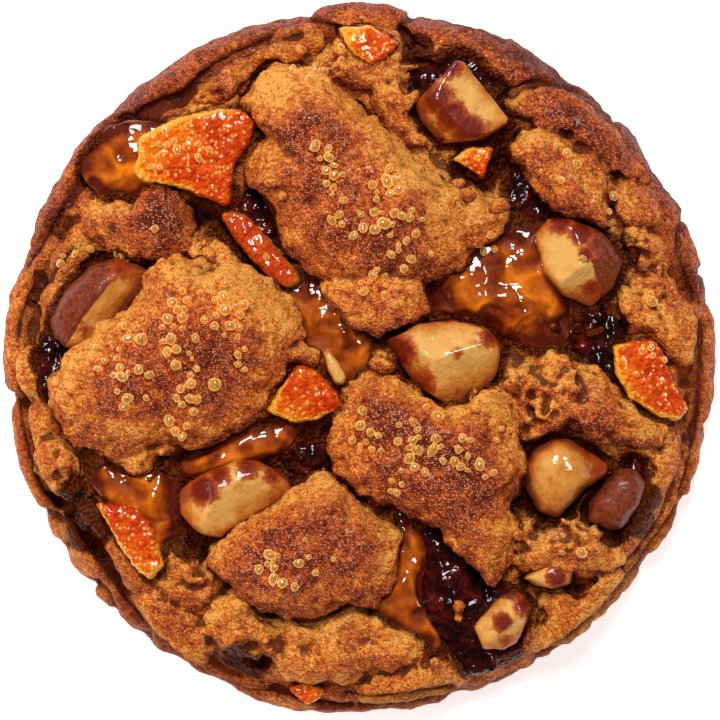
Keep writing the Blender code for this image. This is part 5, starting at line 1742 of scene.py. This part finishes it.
class COOKIE_OT_nuts(bpy.types.Operator):
    """Makes the chunks of roasted nut"""

    bl_idname = "cookie.nuts"
    bl_label = "Nuts"

    def execute(self, context):
        finish = nut_finish(colours())
        for name, piece in NUTS.items():
            obj = fused([make_pillow(name, piece)], f"{name}_roasted", sizes().filling_voxel / MM)
            paint_nut(obj, name)
            relieved(obj, finish, (2.6, 0.35), (0.9, 0.06), smoothing=6)
            place_piece(obj, "nut", name)
            MADE["fillings"].append(obj)
        return {"FINISHED"}


class COOKIE_OT_peel(bpy.types.Operator):
    """Makes the strips of candied peel"""

    bl_idname = "cookie.peel"
    bl_label = "Candied peel"

    def execute(self, context):
        finish = peel_finish(colours())
        for name, piece in PEEL.items():
            obj = fused([make_pillow(name, piece)], f"{name}_candied", sizes().filling_voxel / MM)
            paint_peel(obj, name)
            store(obj.data, "glazed", np.full(len(obj.data.vertices), float(piece.soft)))
            relieved(obj, finish, (1.8, 0.4), (0.7, 0.3), smoothing=6)
            place_piece(obj, "peel", name)
            MADE["fillings"].append(obj)
        return {"FINISHED"}


class COOKIE_OT_pools(bpy.types.Operator):
    """Makes the pools of caramel and dark jam"""

    bl_idname = "cookie.pools"
    bl_label = "Caramel and jam"

    def execute(self, context):
        look = colours()
        kinds = (
            (CARAMEL, "caramel", caramel_finish(look), 0.7, 1.0), (JAM, "jam", jam_finish(look), 0.9, 0.7),
        )
        for pools, slot, finish, height, grow in kinds:
            for name, piece in pools.items():
                body = make_pillow(name, piece, grow=grow)
                obj = fused([body], f"{name}_set", sizes().filling_voxel / MM)
                paint_edge(obj, piece)
                relieved(obj, finish, (3.2, height), (1.2, 0.0 if slot == "caramel" else 0.5), smoothing=6)
                place_piece(obj, slot, name)
                MADE["fillings"].append(obj)
        return {"FINISHED"}


class COOKIE_OT_sugar(bpy.types.Operator):
    """Scatters coarse sugar on the dough"""

    bl_idname = "cookie.sugar"
    bl_label = "Sugar"

    def execute(self, context):
        ground = Ground(MADE["dough"] + MADE["fillings"])
        spots = [*coarse_spots(), *fine_spots()]
        obj = scattered(
            "coarse_sugar", spots, ground, sunk=0.4, steepest=0.4, crowding=0.85, Facets=3,
            Unevenness=0.45 * MM, Bump_Size=0.8 * MM, Material=sugar_finish(colours()),
        )
        # How far sideways each point faces, for the sugar's painted bright rim.
        store(obj.data, "side", 1 - np.abs(normals_of(obj.data)[:, 2]))
        place_piece(obj, "dough", "dough")
        return {"FINISHED"}


class COOKIE_OT_stage(bpy.types.Operator):
    """Sets the white table, the lights and the camera"""

    bl_idname = "cookie.stage"
    bl_label = "Stage"

    def execute(self, context):
        scene = context.scene
        scene.view_settings.view_transform = "Standard"
        make_floor()
        make_world(scene)
        for light in LIGHTS:
            add_light(*light)
        make_camera(scene)
        return {"FINISHED"}


# The stage


# Square lamps that face the cookie: name, place and width in metres, power in W, and whether wet
# things mirror them.
LIGHTS = (
    ("Key", (0.02, 0.37, 0.54), 0.15, 2.8, True),
    ("Top light", (0.0, 0.19, 0.7), 0.12, 1.15, True),
    ("Left fill", (-0.6, 0.1, 0.32), 0.4, 3.1, False),
    ("Right fill", (0.6, 0.0, 0.32), 0.4, 0.9, False),
    ("Front fill", (0.0, -0.6, 0.32), 0.4, 1.3, False),
)
SKY_STRENGTH = 0.05
FLOOR_GLOW = 0.6
FLOOR_SIZE = 3.0
PHOTO_WIDTH = 720 / 713 * 100 * MM
RIM_HEIGHT = 5 * MM
LENS = 300
SENSOR = 36


def make_floor():
    bm = bmesh.new()
    bmesh.ops.create_grid(bm, x_segments=8, y_segments=8, size=FLOOR_SIZE / 2)
    mesh = bpy.data.meshes.new("floor")
    bm.to_mesh(mesh)
    bm.free()
    floor = bpy.data.objects.new("floor", mesh)
    collection("Stage").objects.link(floor)
    f = Finish("White table")
    white = (0.95, 0.95, 0.95, 1)
    mesh.materials.append(f.fill(
        Base_Color=white, Roughness=0.9, Emission_Color=white, Emission_Strength=FLOOR_GLOW,
    ))


def make_world(scene):
    world = bpy.data.worlds.new("Soft light")
    world.use_nodes = True
    sky = world.node_tree.nodes["Background"]
    sky.inputs["Color"].default_value = (1, 1, 1, 1)
    sky.inputs["Strength"].default_value = SKY_STRENGTH
    scene.world = world


def add_light(name, place, width, power, mirrored):
    lamp = bpy.data.lights.new(name, "AREA")
    lamp.size = width
    lamp.energy = power
    obj = bpy.data.objects.new(name, lamp)
    obj.location = place
    obj.rotation_euler = (-Vector(place)).to_track_quat("-Z", "Y").to_euler()
    obj.visible_glossy = mirrored
    collection("Stage").objects.link(obj)


def make_camera(scene):
    """Straight above, with a long lens, so that the cookie fills the photograph's frame."""
    data = bpy.data.cameras.new("Camera")
    data.lens = LENS
    data.sensor_width = SENSOR
    camera = bpy.data.objects.new("Camera", data)
    camera.location = (0, 0, PHOTO_WIDTH * LENS / SENSOR + RIM_HEIGHT)
    data.clip_start, data.clip_end = 0.01, 10
    collection("Stage").objects.link(camera)
    scene.camera = camera


STEPS = (
    COOKIE_OT_base, COOKIE_OT_boulders, COOKIE_OT_nuts, COOKIE_OT_peel, COOKIE_OT_pools,
    COOKIE_OT_lumps, COOKIE_OT_sugar, COOKIE_OT_stage,
)


class COOKIE_PT_panel(bpy.types.Panel):
    """Lists the cookie's steps, sizes and colours"""

    bl_idname = "COOKIE_PT_panel"
    bl_label = "Bakery Cookie"
    bl_space_type = "VIEW_3D"
    bl_region_type = "UI"
    bl_category = "Cookie"

    def draw(self, context):
        for step in STEPS:
            self.layout.operator(step.bl_idname)
        for group in (context.scene.cookie_sizes, context.scene.cookie_colours):
            for key in group.__annotations__:
                self.layout.prop(group, key)


CLASSES = (CookieSizes, CookieColours, *STEPS, COOKIE_PT_panel)


def register():
    for cls in CLASSES:
        bpy.utils.register_class(cls)
    bpy.types.Scene.cookie_sizes = bpy.props.PointerProperty(type=CookieSizes)
    bpy.types.Scene.cookie_colours = bpy.props.PointerProperty(type=CookieColours)


def unregister():
    del bpy.types.Scene.cookie_colours
    del bpy.types.Scene.cookie_sizes
    for cls in reversed(CLASSES):
        bpy.utils.unregister_class(cls)


def main():
    register()
    bpy.ops.cookie.base()
    bpy.ops.cookie.boulders()
    bpy.ops.cookie.nuts()
    bpy.ops.cookie.peel()
    bpy.ops.cookie.pools()
    bpy.ops.cookie.lumps()
    bpy.ops.cookie.sugar()
    bpy.ops.cookie.stage()


if __name__ == "__main__":
    main()
